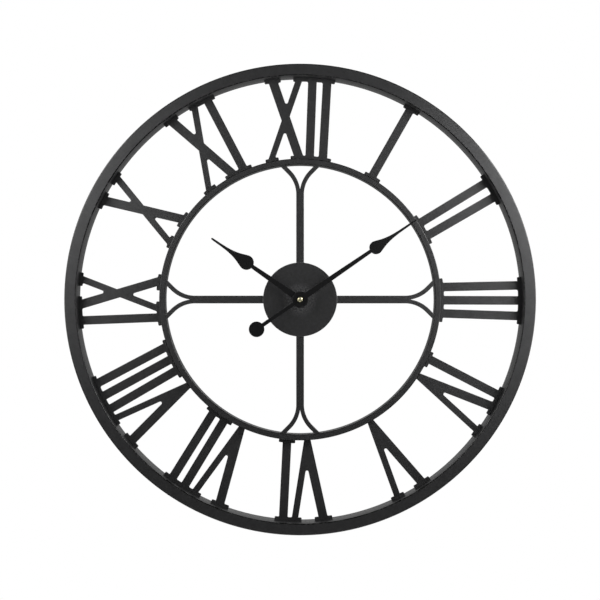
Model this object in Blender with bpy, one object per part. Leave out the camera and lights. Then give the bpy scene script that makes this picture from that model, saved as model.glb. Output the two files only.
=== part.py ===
"""Skeleton wall clock, 600 mm across: a ring of rectangular tube, twelve cut-out Roman numeral
plates, an inner ring, four Y-shaped spokes, a hub disc, and a quartz movement with its hands.

The dial lies in the XZ plane and faces -Y, with 12 at +Z and 3 at +X. The wall is the plane
Y = 0. The origin is the point on the wall where the hook holds the clock, so the middle of
the dial lies straight below it. Lengths are in millimetres until a mesh is made of them, and
an angle is in degrees, clockwise from 12 as one looks at the dial.
"""

import math

import bmesh
import bpy
from mathutils.geometry import delaunay_2d_cdt

MM = 0.001

# Outer ring: a rectangular tube rolled into a hoop, hung by a keyhole in its back wall
RING_OUTER = 300.0
RING_INNER = 285.0
RING_DEPTH = 25.0
RING_WALL = 1.2
RING_CORNER = 1.2
RING_SIDES = 80
KEYHOLE_HEAD = 4.2
KEYHOLE_SLOT = 2.1
KEYHOLE_HEAD_AT = 290.8
HOOK_AT = 295.0

# Inner ring: a solid flat bar on edge
INNER_OUTER = 180.2
INNER_INNER = 172.5
INNER_FRONT = -18.5
INNER_BACK = -4.0
INNER_CORNER = 1.0

# Numeral plates, laser-cut from sheet and let in between the two rings
PLATE_FRONT = -12.5
PLATE_BACK = -10.5
PLATE_TOP = 284.4
PLATE_BOTTOM = 180.6
SERIF = 4.3
READ_TOP = 280.3
READ_BOTTOM = 187.7
BAR = 11.2
THICK = 11.5
THIN = 8.4
APEX = 4.2
SERIF_CORNER = 1.4
WINDOW_CORNER = 1.9

# Spokes: flat bars that fork into two curved branches
SPOKE_FRONT = -18.2
SPOKE_BACK = -13.2
SPOKE_WIDTH = 9.9
SPOKE_START = 30.0
BRANCH_WIDTH = 5.4
FORK_START = 134.8
FORK_BEND = 40.0
FORK_ANGLE = 45.0
FORK_END = 172.0
PAD_RADIUS = 46.6
PAD_START = 41.0
PAD_WIDTH = 19.0
PAD_CORNER = 2.5

# Hub disc with its fixing stack
HUB_RADIUS = 47.3
HUB_FRONT = -20.0
HUB_BACK = -18.5
HUB_HOLE = 4.4
HUB_ROUND = 0.4
RUBBER_RADIUS = 10.0
RUBBER_FRONT = -18.2
RUBBER_BACK = -17.2
BRASS_RADIUS = 8.5
BRASS_FRONT = -21.0
BRASS_BACK = -20.3
NUT_FRONT = -23.8
NUT_BACK = -21.3
NUT_FLATS = 11.0
NUT_BORE = 4.3
NUT_CHAMFER = 0.5

# Movement case, 56 mm square
CASE = 56.0
CASE_WALL = 1.2
CASE_CORNER = 3.0
CASE_FRONT = -16.9
CASE_REAR = -2.9
BAY_WALL_TOP = -11.2
BAY_WALL_BOTTOM = -12.0
BUSH_RADIUS = 4.0
BUSH_BORE = 2.6
BUSH_FRONT = -24.2
BUSH_CHAMFER = 0.4
COVER_FRONT = -2.6
COVER_BACK = -1.4
COVER_CORNER = 2.0

# Gap left between two pieces that touch or are fixed to each other, and round a running shaft
REST_GAP = 0.3
RUNNING_GAP = 0.1

# Gear train: module and teeth of each mesh, and the direction from one arbor to the next
TRAIN_MODULE = 0.36
ROTOR_MODULE = 0.42
MOTION_MODULE = 0.4
PINION_TEETH = 6
CENTRE_TEETH = 48
THIRD_TEETH = 45
SECOND_TEETH = 36
INTERMEDIATE_TEETH = 30
CANNON_TEETH = 10
MOTION_TEETH = 30
MOTION_PINION_TEETH = 8
HOUR_TEETH = 32
SETTING_TEETH = 10
TO_THIRD = 160.0
TO_SECOND = 80.0
TO_INTERMEDIATE = 20.0
TO_ROTOR = 0.0
TO_MOTION = -15.0
TO_SETTING = 0.0
ARBOR = 0.55
PIVOT = 0.42
PIVOT_HOLE = 0.52
SOCKET_FLOOR = -16.4
PIVOT_FRONT = -16.2
COLLAR_RADIUS = 2.2
MAGNET_RADIUS = 3.1

# Levels of the movement along Y, front to back
HOUR_WHEEL = (-15.2, -14.2)
MOTION_WHEEL = (-13.2, -12.2)
MIDDLE_PLATE = (-11.4, -10.4)
CENTRE_WHEEL = (-9.9, -9.1)
THIRD_WHEEL = (-8.3, -7.5)
SECOND_WHEEL = (-6.7, -5.9)
INTERMEDIATE_WHEEL = (-5.1, -4.4)
STATOR = (-8.6, -7.8)
CORE = (-7.4, -6.6)
MAGNET_LEVEL = (-9.8, -6.4)
BOARD_LEVEL = (-9.6, -8.8)
COLLAR_BACK = -8.6

# Ends of the arbors: a pivot in the middle plate and one in the cover, each with its shoulder
PLATE_PIVOT = -11.3
PLATE_SHOULDER = -10.2
COVER_SHOULDER = -2.9
COVER_PIVOT = -1.7

# Setting knob, sunk in a round recess of the rear cover
KNOB_RIDGES = 20
KNOB_RADIUS = 4.9
KNOB_FRONT = -3.4
KNOB_BACK = -1.6
KNOB_STEM = 1.3
RECESS_RADIUS = 6.2
RECESS_FLOOR = -4.2
RECESS_WALL = 1.0

# Motor and electronics, round the rotor and up the left side of the case
STATOR_RIGHT = 25.8
STATOR_MARGIN = 5.2
STATOR_HALF_HEIGHT = 4.6
STATOR_WINDOW = 3.6
LEG_WIDTH = 4.2
LEG_TOP = 26.0
CORE_WIDTH = 3.0
COIL_Z = 23.2
COIL_MARGIN = 5.0
CHEEK = 0.6
CHEEK_RADIUS = 3.3
WINDING_RADIUS = 2.8
BOARD_CORNERS = (-26.3, -10.6, -18.9, 24.0)
CHIP_Z = 2.0
CHIP_RADIUS = 2.6
CHIP_SHOULDER = (0.6, 2.4)
CHIP_TOP = (1.0, 1.5)
CAN_Z = 14.0
CAN_LENGTH = 6.2
CAN_RADIUS = 1.0

# Hands, at nine minutes past ten. Each is a boss, a stem that tapers to its neck, a bulb that
# runs out into a leaf, and a needle; the minute hand also has a tail with a counterweight
MINUTE_ANGLE = 55.6
HOUR_ANGLE = 304.63
HOUR_HAND = (-25.8, -25.0)
MINUTE_HAND = (-28.4, -27.6)
HOUR_SHAPE = {
    "boss": 10.6, "stem": 8.4, "neck": 5.2, "bulb": 9.4, "bulb_at": 82.8, "tip": 137.0
}
MINUTE_SHAPE = {
    "boss": 9.8, "stem": 7.6, "neck": 4.7, "bulb": 8.5, "bulb_at": 116.6, "tip": 179.0
}
LEAF_LEAVES = 18.0
LEAF_RUN = 41.0
LEAF_PULL = 9.0
NEEDLE_PULL = 24.0
NEEDLE_FLARE = 0.3
NEEDLE_BASE = 3.1
NEEDLE_TIP = 2.5
TAIL_WIDTH = 5.0
WEIGHT_RADIUS = 9.9
WEIGHT_AT = -66.8
TUBE_RADIUS = 2.5
TUBE_BORE = 1.0
TUBE_FRONT = -26.4
SHAFT_RADIUS = 0.9
SHAFT_CHAMFER = 0.25
SHAFT_FRONT = -30.2
CAP_RADIUS = 3.4
CAP_FRONT = -31.0
CAP_DOME = -30.7
CAP_BORE_END = -30.5
CAP_RIM = -29.9

# Battery, size AA, across the bottom of the case
BATTERY_RADIUS = 7.1
BATTERY_LENGTH = 49.0
BATTERY_Y = -8.4
BATTERY_Z = -19.4
BATTERY_CAP = 1.2
BATTERY_CORNER = 0.5
CAP_BASE_RADIUS = 2.75
CAP_END_RADIUS = 2.6
CONTACT_SHEET = 0.4
CONTACT_WIDTH = 10.0
CONTACT_HEIGHT = 11.0
CONTACT_TIP = 2.1
CONTACT_CORNER = 1.0
PLUS_FOOT = 2.6
MINUS_FOOT = 4.2


def circle(radius, sides, x=0.0, z=0.0):
    """Points of a circle, anticlockwise from the +X side."""
    steps = [2 * math.pi * i / sides for i in range(sides)]
    return [(x + radius * math.cos(a), z + radius * math.sin(a)) for a in steps]


def arc(radius, start, end, steps, x=0.0, z=0.0):
    """Points along an arc, ends included, between two angles from +X in degrees."""
    angles = [math.radians(start + (end - start) * i / steps) for i in range(steps + 1)]
    return [(x + radius * math.cos(a), z + radius * math.sin(a)) for a in angles]


def rectangle(x0, z0, x1, z1, corner=0.0, steps=3):
    """A rectangle, with round corners if corner is given."""
    if not corner:
        return [(x0, z0), (x1, z0), (x1, z1), (x0, z1)]
    points = []
    centres = ((x1, z1, -1, -1, 0), (x0, z1, 1, -1, 90), (x0, z0, 1, 1, 180), (x1, z0, -1, 1, 270))
    for x, z, inward_x, inward_z, turn in centres:
        middle = x + inward_x * corner, z + inward_z * corner
        points += arc(corner, turn, turn + 90, steps, *middle)
    return points


def on_dial(along, radius):
    """The point at an arc length along a circle of the dial, clockwise from 12."""
    turn = along / radius
    return radius * math.sin(turn), radius * math.cos(turn)


def turned(points, angle):
    """Points turned clockwise about the dial's middle."""
    turn = math.radians(angle)
    return [
        (x * math.cos(turn) + z * math.sin(turn), z * math.cos(turn) - x * math.sin(turn))
        for x, z in points
    ]


def area(loop):
    """A loop's area, above zero if it runs anticlockwise."""
    return sum(x0 * z1 - x1 * z0 for (x0, z0), (x1, z1) in zip(loop, loop[1:] + loop[:1])) / 2


def joined(polygons):
    """The outlines of overlapping polygons made one, each with its material on the left."""
    points, faces = [], []
    for polygon in polygons:
        if area(polygon) < 0:
            polygon = polygon[::-1]
        faces.append(list(range(len(points), len(points) + len(polygon))))
        points += polygon
    vertices, _, triangles, _, _, owners = delaunay_2d_cdt(points, [], faces, 1, 1e-6, True)
    edges = set()
    for triangle, owner in zip(triangles, owners):
        if owner:
            edges.update(zip(triangle, triangle[1:] + triangle[:1]))
    follow = {a: b for a, b in edges if (b, a) not in edges}
    loops = []
    while follow:
        start = min(follow)
        here = follow.pop(start)
        loop = [start]
        while here != start:
            loop.append(here)
            here = follow.pop(here)
        loops.append([tuple(vertices[i]) for i in loop])
    return [straightened(loop) for loop in loops]


def straightened(loop, least=1e-4):
    """A loop without the points that lie on a straight run."""
    kept = []
    for i, (x, z) in enumerate(loop):
        (x0, z0), (x1, z1) = loop[i - 1], loop[(i + 1) % len(loop)]
        if abs((x - x0) * (z1 - z) - (z - z0) * (x1 - x)) > least:
            kept.append((x, z))
    return kept


def rounded(loop, outer, inner, steps, sharpest=20.0):
    """A loop with its corners rounded: outer is the radius on material, inner in a recess."""
    points = []
    for i, (x, z) in enumerate(loop):
        (x0, z0), (x1, z1) = loop[i - 1], loop[(i + 1) % len(loop)]
        back, ahead = math.dist((x, z), (x0, z0)), math.dist((x, z), (x1, z1))
        ux, uz = (x - x0) / back, (z - z0) / back
        vx, vz = (x1 - x) / ahead, (z1 - z) / ahead
        turn = math.atan2(ux * vz - uz * vx, ux * vx + uz * vz)
        radius = outer if turn > 0 else inner
        if abs(turn) < math.radians(sharpest) or not radius:
            points.append((x, z))
            continue
        run = min(radius * math.tan(abs(turn) / 2), 0.48 * back, 0.48 * ahead)
        radius = run / math.tan(abs(turn) / 2)
        side = math.copysign(1.0, turn)
        middle = x - ux * run - uz * radius * side, z - uz * run + ux * radius * side
        first = math.atan2(z - uz * run - middle[1], x - ux * run - middle[0])
        points += arc(radius, math.degrees(first), math.degrees(first + turn), steps, *middle)
    return points


def gear(teeth, module, phase):
    """A gear's outline. A tooth points along phase, an angle from +X in degrees."""
    addendum, dedendum, tip_share, root_share = 0.8, 1.25, 0.16, 0.46
    pitch = 360.0 / teeth
    radius = teeth * module / 2
    corners = (
        (-root_share / 2, radius - dedendum * module),
        (-tip_share / 2, radius + addendum * module),
        (tip_share / 2, radius + addendum * module),
        (root_share / 2, radius - dedendum * module),
    )
    points = []
    for tooth in range(teeth):
        for share, reach in corners:
            turn = math.radians(phase + (tooth + share) * pitch)
            points.append((reach * math.cos(turn), reach * math.sin(turn)))
    return points


def meshed_phase(teeth, phase, other_teeth, direction):
    """The phase that puts a gear in mesh with another one, which lies against the direction."""
    ahead = phase - direction
    return direction + 180.0 + 180.0 / teeth - ahead * other_teeth / teeth


def step_from(start, distance, direction):
    """The point at a distance and an angle from +X, in degrees, from another."""
    turn = math.radians(direction)
    return start[0] + distance * math.cos(turn), start[1] + distance * math.sin(turn)


def mesh_distance(teeth, other_teeth, module):
    return module * (teeth + other_teeth) / 2


def solid(*slabs):
    """A closed mesh made of slabs stacked along Y, each (y0, loops, y1) or (y0, loops, y1, loops).

    The second list of loops, point for point like the first, tapers the slab. Loops are nested
    outlines, so the second one in is a hole. A loop that goes on into the next slab is the same
    list there, and is left open between the two.
    """
    mesh = bmesh.new()
    rings, levels = {}, {}

    def ring(points, y):
        key = id(points), y
        if key not in rings:
            verts = [mesh.verts.new((x * MM, y * MM, z * MM)) for x, z in points]
            rings[key] = verts, [mesh.edges.new(p) for p in zip(verts, verts[1:] + verts[:1])]
        return rings[key]

    for y0, loops, y1, *more in slabs:
        for first, last in zip(loops, more[0] if more else loops):
            front, back = ring(first, y0)[0], ring(last, y1)[0]
            for i in range(len(front)):
                mesh.faces.new((front[i - 1], front[i], back[i], back[i - 1]))
            for points, y in ((first, y0), (last, y1)):
                level = levels.setdefault(y, {})
                if level.pop(id(points), None) is None:
                    level[id(points)] = ring(points, y)[1]
    for level in levels.values():
        edges = [edge for ring_edges in level.values() for edge in ring_edges]
        if edges:
            bmesh.ops.triangle_fill(mesh, use_beauty=True, edges=edges, normal=(0, 1, 0))
    bmesh.ops.recalc_face_normals(mesh, faces=mesh.faces)
    return mesh


def lathe(sides, *stations, bore=0.0, bore_sides=0):
    """A turned piece about Y. A station is (y, radius); two at one y make a step."""
    hole = [circle(bore, bore_sides or sides)] if bore else []
    slabs = []
    rims = [circle(radius, sides) for _, radius in stations]
    for i in range(len(stations) - 1):
        (y0, _), (y1, _) = stations[i : i + 2]
        if y0 != y1:
            slabs.append((y0, [rims[i]] + hole, y1, [rims[i + 1]] + hole))
    return solid(*slabs)


def material(name, colour, roughness, metallic):
    """A material, made once for each name."""
    made = bpy.data.materials.get(name)
    if made is None:
        made = bpy.data.materials.new(name)
        made.use_nodes = True
        shader = made.node_tree.nodes["Principled BSDF"]
        shader.inputs["Base Color"].default_value = (*colour, 1.0)
        shader.inputs["Roughness"].default_value = roughness
        shader.inputs["Metallic"].default_value = metallic
    return made


FRAME_BLACK = ("powder_black", (0.035, 0.035, 0.037), 0.6, 0.0)
HAND_BLACK = ("hand_black", (0.012, 0.012, 0.013), 0.5, 0.0)
BRASS = ("brass", (0.78, 0.62, 0.32), 0.25, 1.0)
STEEL = ("steel", (0.6, 0.6, 0.62), 0.3, 1.0)
COPPER = ("copper_wire", (0.7, 0.33, 0.16), 0.35, 1.0)
PLATING = ("contact_plating", (0.72, 0.72, 0.74), 0.2, 1.0)
CASE_PLASTIC = ("case_plastic", (0.02, 0.02, 0.022), 0.5, 0.0)
GEAR_PLASTIC = ("gear_plastic", (0.86, 0.86, 0.82), 0.4, 0.0)
KNOB_PLASTIC = ("knob_plastic", (0.86, 0.86, 0.82), 0.4, 0.0)
RUBBER = ("rubber", (0.03, 0.03, 0.03), 0.85, 0.0)
BOARD = ("board_green", (0.02, 0.14, 0.06), 0.5, 0.0)
CHIP = ("chip_epoxy", (0.01, 0.01, 0.01), 0.3, 0.0)
MAGNET = ("magnet", (0.12, 0.12, 0.13), 0.45, 1.0)
CELL_SLEEVE = ("battery_can", (0.05, 0.12, 0.3), 0.35, 0.2)


def place(name, mesh, finish, x=0.0, z=0.0, clockwise=0.0, across=0.0, y=0.0):
    """Makes a named object on the dial, turned about Y and, if across is given, about Z."""
    data = bpy.data.meshes.new(name)
    mesh.to_mesh(data)
    mesh.free()
    data.shade_smooth()
    data.set_sharp_from_angle(angle=math.radians(30))
    data.materials.append(material(*finish))
    piece = bpy.data.objects.new(name, data)
    piece.location = (x * MM, y * MM, z * MM)
    piece.rotation_euler = (0.0, math.radians(clockwise), math.radians(across))
    piece.parent = bpy.data.objects["dial_centre"]
    bpy.context.collection.objects.link(piece)


def outer_ring():
    """The hoop of tube. Its hollow opens through the keyhole at the top of its back wall."""
    front, back = -RING_DEPTH, 0.0
    outer = circle(RING_OUTER, RING_SIDES)
    outer_edge = circle(RING_OUTER - RING_CORNER, RING_SIDES)
    inner = circle(RING_INNER, RING_SIDES)
    inner_edge = circle(RING_INNER + RING_CORNER, RING_SIDES)
    hollow = [
        circle(RING_OUTER - RING_WALL, RING_SIDES),
        circle(RING_INNER + RING_WALL, RING_SIDES),
    ]
    head = circle(KEYHOLE_HEAD, 16, 0.0, KEYHOLE_HEAD_AT)
    slot = arc(KEYHOLE_SLOT, 0, 180, 8, 0.0, HOOK_AT)
    slot += [(-KEYHOLE_SLOT, KEYHOLE_HEAD_AT), (KEYHOLE_SLOT, KEYHOLE_HEAD_AT)]
    keyhole = joined([head, slot])
    mesh = solid(
        (front, [outer_edge, inner_edge], front + RING_CORNER, [outer, inner]),
        (front + RING_CORNER, [outer, inner] + hollow, back - RING_WALL),
        (back - RING_WALL, [outer, inner] + keyhole, back),
    )
    place("outer_ring", mesh, FRAME_BLACK)


def inner_ring():
    outer, inner = circle(INNER_OUTER, RING_SIDES), circle(INNER_INNER, RING_SIDES)
    outer_edge = circle(INNER_OUTER - INNER_CORNER, RING_SIDES)
    inner_edge = circle(INNER_INNER + INNER_CORNER, RING_SIDES)
    mesh = solid(
        (INNER_FRONT, [outer_edge, inner_edge], INNER_FRONT + INNER_CORNER, [outer, inner]),
        (INNER_FRONT + INNER_CORNER, [outer, inner], INNER_BACK),
    )
    place("inner_ring", mesh, FRAME_BLACK)


def stroke(top, bottom, width):
    """A straight stroke, by the places of its middle on the two reading circles and its width."""
    lean = (top - bottom) / (READ_TOP - READ_BOTTOM)
    half = width / 2 * math.hypot(1.0, lean)
    ends = PLATE_TOP - SERIF / 2, PLATE_BOTTOM + SERIF / 2
    middles = [bottom + lean * (radius - READ_BOTTOM) for radius in ends]
    corners = [(middles[0] + half, ends[0]), (middles[0] - half, ends[0])]
    corners += [(middles[1] - half, ends[1]), (middles[1] + half, ends[1])]
    return [on_dial(along, radius) for along, radius in corners]


def vee(left, right, apex):
    """The V: a thick and a thin stroke that meet in a flat point on the inner ring."""
    top = PLATE_TOP - SERIF / 2
    fall = top - PLATE_BOTTOM
    thick = THICK / 2 * math.hypot(1.0, (apex - left) / fall)
    thin = THIN / 2
    inner_left, inner_right = left + thick, right - thin
    drift_left = apex - APEX + 2 * thick - inner_left
    drift_right = inner_right - (apex + APEX - 2 * thin)
    share = (inner_right - inner_left) / (drift_left + drift_right)
    notch = inner_left + share * drift_left, top - share * fall
    corners = [(left - thick, top), (apex - APEX, PLATE_BOTTOM), (apex + APEX, PLATE_BOTTOM)]
    corners += [(right + thin, top), (inner_right, top), notch, (inner_left, top)]
    return [on_dial(along, radius) for along, radius in corners]


def serif(start, end, radius, thickness):
    """A curved foot along a ring, between two arc lengths."""
    steps = max(1, round((end - start) / 12.0))
    along = [start + (end - start) * i / steps for i in range(steps + 1)]
    far = [on_dial(a, radius + thickness) for a in along]
    near = [on_dial(a * radius / (radius + thickness), radius) for a in reversed(along)]
    return far + near


# Each numeral: its strokes, then the stretches of its outer and inner serifs. A bar is (top,
# bottom), a V is (left, right, apex), and an X is a thick and a thin slanted stroke.
NUMERALS = {
    1: ([("bar", 0.6, 1.1)], [(-9.2, 13.3)], [(-9.6, 13.2)]),
    2: ([("bar", -10.5, -8.2), ("bar", 10.7, 10.8)], [(-21.8, 22.0)], [(-19.6, 22.2)]),
    3: (
        [("bar", -18.2, -16.2), ("bar", 1.2, 0.9), ("bar", 21.1, 18.0)],
        [(-29.5, 32.4)],
        [(-27.6, 29.4)],
    ),
    4: (
        [("bar", -21.0, -16.8), ("vee", -4.5, 31.6, 9.3)],
        [(-32.7, 7.3), (23.4, 41.8)],
        [(-26.8, -5.5)],
    ),
    5: ([("vee", -18.1, 18.1, 0.0)], [(-29.9, -6.3), (8.8, 27.4)], []),
    6: (
        [("vee", -30.0, 6.8, -9.3), ("bar", 21.6, 17.0)],
        [(-42.2, -19.1), (-2.0, 33.4)],
        [(6.3, 27.6)],
    ),
    7: (
        [("vee", -42.0, -6.3, -17.5), ("bar", 8.8, 6.9), ("bar", 27.4, 24.3)],
        [(-55.3, -31.1), (-15.6, 39.8)],
        [(-4.0, 34.7)],
    ),
    8: (
        [
            ("vee", -48.9, -13.4, -23.7),
            ("bar", 0.2, 0.6),
            ("bar", 18.9, 16.7),
            ("bar", 37.0, 33.7),
        ],
        [(-61.3, -37.7), (-23.2, 48.0)],
        [(-10.2, 43.6)],
    ),
    9: (
        [("bar", -26.9, -23.4), ("thick", -5.8, 22.2), ("thin", 25.8, -9.7)],
        [(-38.3, 4.3), (17.7, 35.4)],
        [(-34.1, -2.5), (11.8, 33.2)],
    ),
    10: (
        [("thick", -15.3, 12.5), ("thin", 16.9, -18.4)],
        [(-28.0, -4.9), (7.5, 26.0)],
        [(-28.1, -10.9), (2.6, 24.7)],
    ),
    11: (
        [("thick", -27.7, 4.2), ("thin", 5.5, -29.5), ("bar", 24.9, 21.1)],
        [(-39.8, -18.7), (-1.6, 35.8)],
        [(-39.7, -20.9), (-5.2, 32.5)],
    ),
    12: (
        [
            ("thick", -34.3, -3.0),
            ("thin", -2.0, -35.5),
            ("bar", 15.9, 12.5),
            ("bar", 34.8, 29.7),
        ],
        [(-46.6, -25.1), (-9.0, 45.8)],
        [(-45.3, -27.8), (-12.4, 40.6)],
    ),
}
STROKE_WIDTHS = {"bar": BAR, "thick": THICK, "thin": THIN}


def numeral_outlines(hour, steps):
    """A numeral's outlines at the top of the dial."""
    strokes, outer_serifs, inner_serifs = NUMERALS[hour]
    shapes = []
    for kind, *places in strokes:
        if kind == "vee":
            shapes.append(vee(*places))
        else:
            shapes.append(stroke(*places, STROKE_WIDTHS[kind]))
    shapes += [serif(a, b, PLATE_TOP - SERIF, SERIF) for a, b in outer_serifs]
    shapes += [serif(a, b, PLATE_BOTTOM, SERIF) for a, b in inner_serifs]
    return [rounded(loop, SERIF_CORNER, WINDOW_CORNER, steps) for loop in joined(shapes)]


def numerals():
    for hour in NUMERALS:
        outlines = [turned(loop, 30.0 * hour) for loop in numeral_outlines(hour, 2)]
        mesh = solid((PLATE_FRONT, outlines, PLATE_BACK))
        place(f"numeral_{hour:02d}", mesh, FRAME_BLACK)


def fork_branch(side, steps):
    """One branch of a fork: tangent to the bar, bent outwards, then straight to the ring."""
    overlap = 4.0
    middle = (SPOKE_WIDTH - BRANCH_WIDTH) / 2
    edges = []
    for reach in (-BRANCH_WIDTH / 2, BRANCH_WIDTH / 2):
        points = [(middle + reach, FORK_START - overlap)]
        for i in range(steps + 1):
            bend = math.radians(FORK_ANGLE) * i / steps
            radius = FORK_BEND - reach
            x = middle + FORK_BEND - radius * math.cos(bend)
            points.append((x, FORK_START + radius * math.sin(bend)))
        # from the end of the bend, straight on to the circle of the ring's inner wall
        (x, z), bend = points[-1], math.radians(FORK_ANGLE)
        dx, dz = math.sin(bend), math.cos(bend)
        along = x * dx + z * dz
        run = math.sqrt(along**2 - x**2 - z**2 + FORK_END**2) - along
        points.append((x + run * dx, z + run * dz))
        edges.append(points)
    loop = edges[1] + edges[0][::-1]
    return [(side * x, z) for x, z in loop]


def spoke_outlines(steps):
    """A spoke at the top of the dial: weld pad under the disc, bar, and fork."""
    half = SPOKE_WIDTH / 2
    bar = rectangle(-half, SPOKE_START, half, FORK_START)
    spread = math.degrees(PAD_WIDTH / 2 / PAD_RADIUS)
    pad = arc(PAD_RADIUS, 90 - spread, 90 + spread, steps)
    pad += arc(PAD_START, 90 + spread, 90 - spread, steps)
    loops = joined([bar, pad, fork_branch(1, steps), fork_branch(-1, steps)])
    return [rounded(loop, 0.0, PAD_CORNER, steps, sharpest=40.0) for loop in loops]


def spokes():
    for name, angle in (("top", 0), ("right", 90), ("bottom", 180), ("left", 270)):
        outlines = [turned(loop, angle) for loop in spoke_outlines(4)]
        place(f"spoke_{name}", solid((SPOKE_FRONT, outlines, SPOKE_BACK)), FRAME_BLACK)


def hub():
    """The disc, and the washers and nut that clamp the movement's bushing in it."""
    disc = (
        (HUB_FRONT, HUB_RADIUS - HUB_ROUND),
        (HUB_FRONT + HUB_ROUND, HUB_RADIUS),
        (HUB_BACK, HUB_RADIUS),
    )
    place("hub_disc", lathe(64, *disc, bore=HUB_HOLE, bore_sides=20), FRAME_BLACK)
    rubber = ((RUBBER_FRONT, RUBBER_RADIUS), (RUBBER_BACK, RUBBER_RADIUS))
    place("rubber_washer", lathe(28, *rubber, bore=HUB_HOLE, bore_sides=20), RUBBER)
    brass = ((BRASS_FRONT, BRASS_RADIUS), (BRASS_BACK, BRASS_RADIUS))
    place("brass_washer", lathe(28, *brass, bore=HUB_HOLE, bore_sides=20), BRASS)
    hexagon = circle(NUT_FLATS / math.sqrt(3), 6)
    chamfered = circle(NUT_FLATS / math.sqrt(3) - NUT_CHAMFER, 6)
    hole = circle(NUT_BORE, 20)
    nut = solid(
        (NUT_FRONT, [chamfered, hole], NUT_FRONT + NUT_CHAMFER, [hexagon, hole]),
        (NUT_FRONT + NUT_CHAMFER, [hexagon, hole], NUT_BACK),
    )
    place("hex_nut", nut, BRASS)
    bush = (
        (BUSH_FRONT, BUSH_RADIUS - BUSH_CHAMFER),
        (BUSH_FRONT + BUSH_CHAMFER, BUSH_RADIUS),
        (CASE_FRONT - REST_GAP, BUSH_RADIUS),
    )
    place("threaded_bushing", lathe(20, *bush, bore=BUSH_BORE, bore_sides=24), BRASS)


def curve(corners, steps):
    """Points along a cubic Bezier curve, without its first one."""
    points = []
    for i in range(1, steps + 1):
        t = i / steps
        weights = (1 - t) ** 3, 3 * t * (1 - t) ** 2, 3 * t**2 * (1 - t), t**3
        points.append(tuple(sum(w * c[k] for w, c in zip(weights, corners)) for k in (0, 1)))
    return points


def hand_side(steps, boss, stem, neck, bulb, bulb_at, tip):
    """The right side of a hand that points up, from where its stem leaves the boss to its tip."""
    side = [(stem / 2, math.sqrt(boss**2 - stem**2 / 4))]
    meet = math.degrees(math.asin(neck / 2 / bulb))
    side += arc(bulb, -90 + meet, LEAF_LEAVES, 2 * steps, 0.0, bulb_at)
    leave = math.radians(LEAF_LEAVES)
    start = side[-1]
    first_pull = start[0] - LEAF_PULL * math.sin(leave), start[1] + LEAF_PULL * math.cos(leave)
    end = NEEDLE_BASE / 2, bulb_at + LEAF_RUN
    last_pull = end[0] + NEEDLE_FLARE, end[1] - NEEDLE_PULL
    side += curve((start, first_pull, last_pull, end), 2 * steps)
    side += [(NEEDLE_TIP / 2, tip - NEEDLE_TIP / 2), (NEEDLE_TIP / 4, tip)]
    return side


def mirrored(side):
    """A whole outline from its right side, bottom to top."""
    return side + [(-x, z) for x, z in reversed(side)]


def hour_hand_outline(steps):
    boss = HOUR_SHAPE["boss"]
    side = hand_side(steps, **HOUR_SHAPE)
    start = math.degrees(math.atan2(side[0][1], side[0][0]))
    return mirrored(arc(boss, -90, start, 6 * steps)[1:-1] + side) + [(0.0, -boss)]


def minute_hand_outline(steps):
    boss, tail = MINUTE_SHAPE["boss"], TAIL_WIDTH / 2
    side = hand_side(steps, **MINUTE_SHAPE)
    start = math.degrees(math.atan2(side[0][1], side[0][0]))
    top = 90 - math.degrees(math.asin(tail / WEIGHT_RADIUS))
    weight = arc(WEIGHT_RADIUS, -90, top, 5 * steps, 0.0, WEIGHT_AT)
    rim = arc(boss, -90 + math.degrees(math.asin(tail / boss)), start, 5 * steps)
    return mirrored(weight[1:] + rim[:-1] + side) + [(0.0, WEIGHT_AT - WEIGHT_RADIUS)]


def hands():
    hole = circle(TUBE_RADIUS + REST_GAP, 20)
    hour = solid((HOUR_HAND[0], [hour_hand_outline(3), hole], HOUR_HAND[1]))
    place("hour_hand", hour, HAND_BLACK, clockwise=HOUR_ANGLE)
    hole = circle(SHAFT_RADIUS + REST_GAP, 14)
    minute = solid((MINUTE_HAND[0], [minute_hand_outline(3), hole], MINUTE_HAND[1]))
    place("minute_hand", minute, HAND_BLACK, clockwise=MINUTE_ANGLE)
    crown, dome, rim = (circle(CAP_RADIUS * share, 24) for share in (0.45, 0.8, 1.0))
    cap = solid(
        (CAP_FRONT, [crown], CAP_DOME, [dome]),
        (CAP_DOME, [dome], CAP_BORE_END, [dome]),
        (CAP_BORE_END, [dome, hole], CAP_RIM, [rim, hole]),
        (CAP_RIM, [rim, hole], MINUTE_HAND[0] - REST_GAP),
    )
    place("minute_cap_nut", cap, BRASS)


def arbors():
    """The places of the arbors on the dial, and the phases that put every gear in mesh."""
    places, phases = {"centre": (0.0, 0.0)}, {}
    chain = (
        ("centre", CENTRE_TEETH, "third", PINION_TEETH, TRAIN_MODULE, TO_THIRD),
        ("third", THIRD_TEETH, "second", PINION_TEETH, TRAIN_MODULE, TO_SECOND),
        ("second", SECOND_TEETH, "intermediate", PINION_TEETH, TRAIN_MODULE, TO_INTERMEDIATE),
        ("intermediate", INTERMEDIATE_TEETH, "rotor", PINION_TEETH, ROTOR_MODULE, TO_ROTOR),
        ("cannon", CANNON_TEETH, "motion", MOTION_TEETH, MOTION_MODULE, TO_MOTION),
        ("hour", HOUR_TEETH, "motion", MOTION_PINION_TEETH, MOTION_MODULE, TO_MOTION),
    )
    places["cannon"] = places["hour"] = places["centre"]
    for first, teeth, second, other, module, direction in chain:
        distance = mesh_distance(teeth, other, module)
        places[second] = step_from(places[first], distance, direction)
        phases[first] = direction
        key = second + ("_pinion" if other != MOTION_TEETH else "")
        phases[key] = meshed_phase(other, direction, teeth, direction)
    distance = mesh_distance(MOTION_TEETH, SETTING_TEETH, MOTION_MODULE)
    places["setting"] = step_from(places["motion"], distance, TO_SETTING)
    phases["setting"] = meshed_phase(SETTING_TEETH, phases["motion"], MOTION_TEETH, TO_SETTING)
    return places, phases


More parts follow.
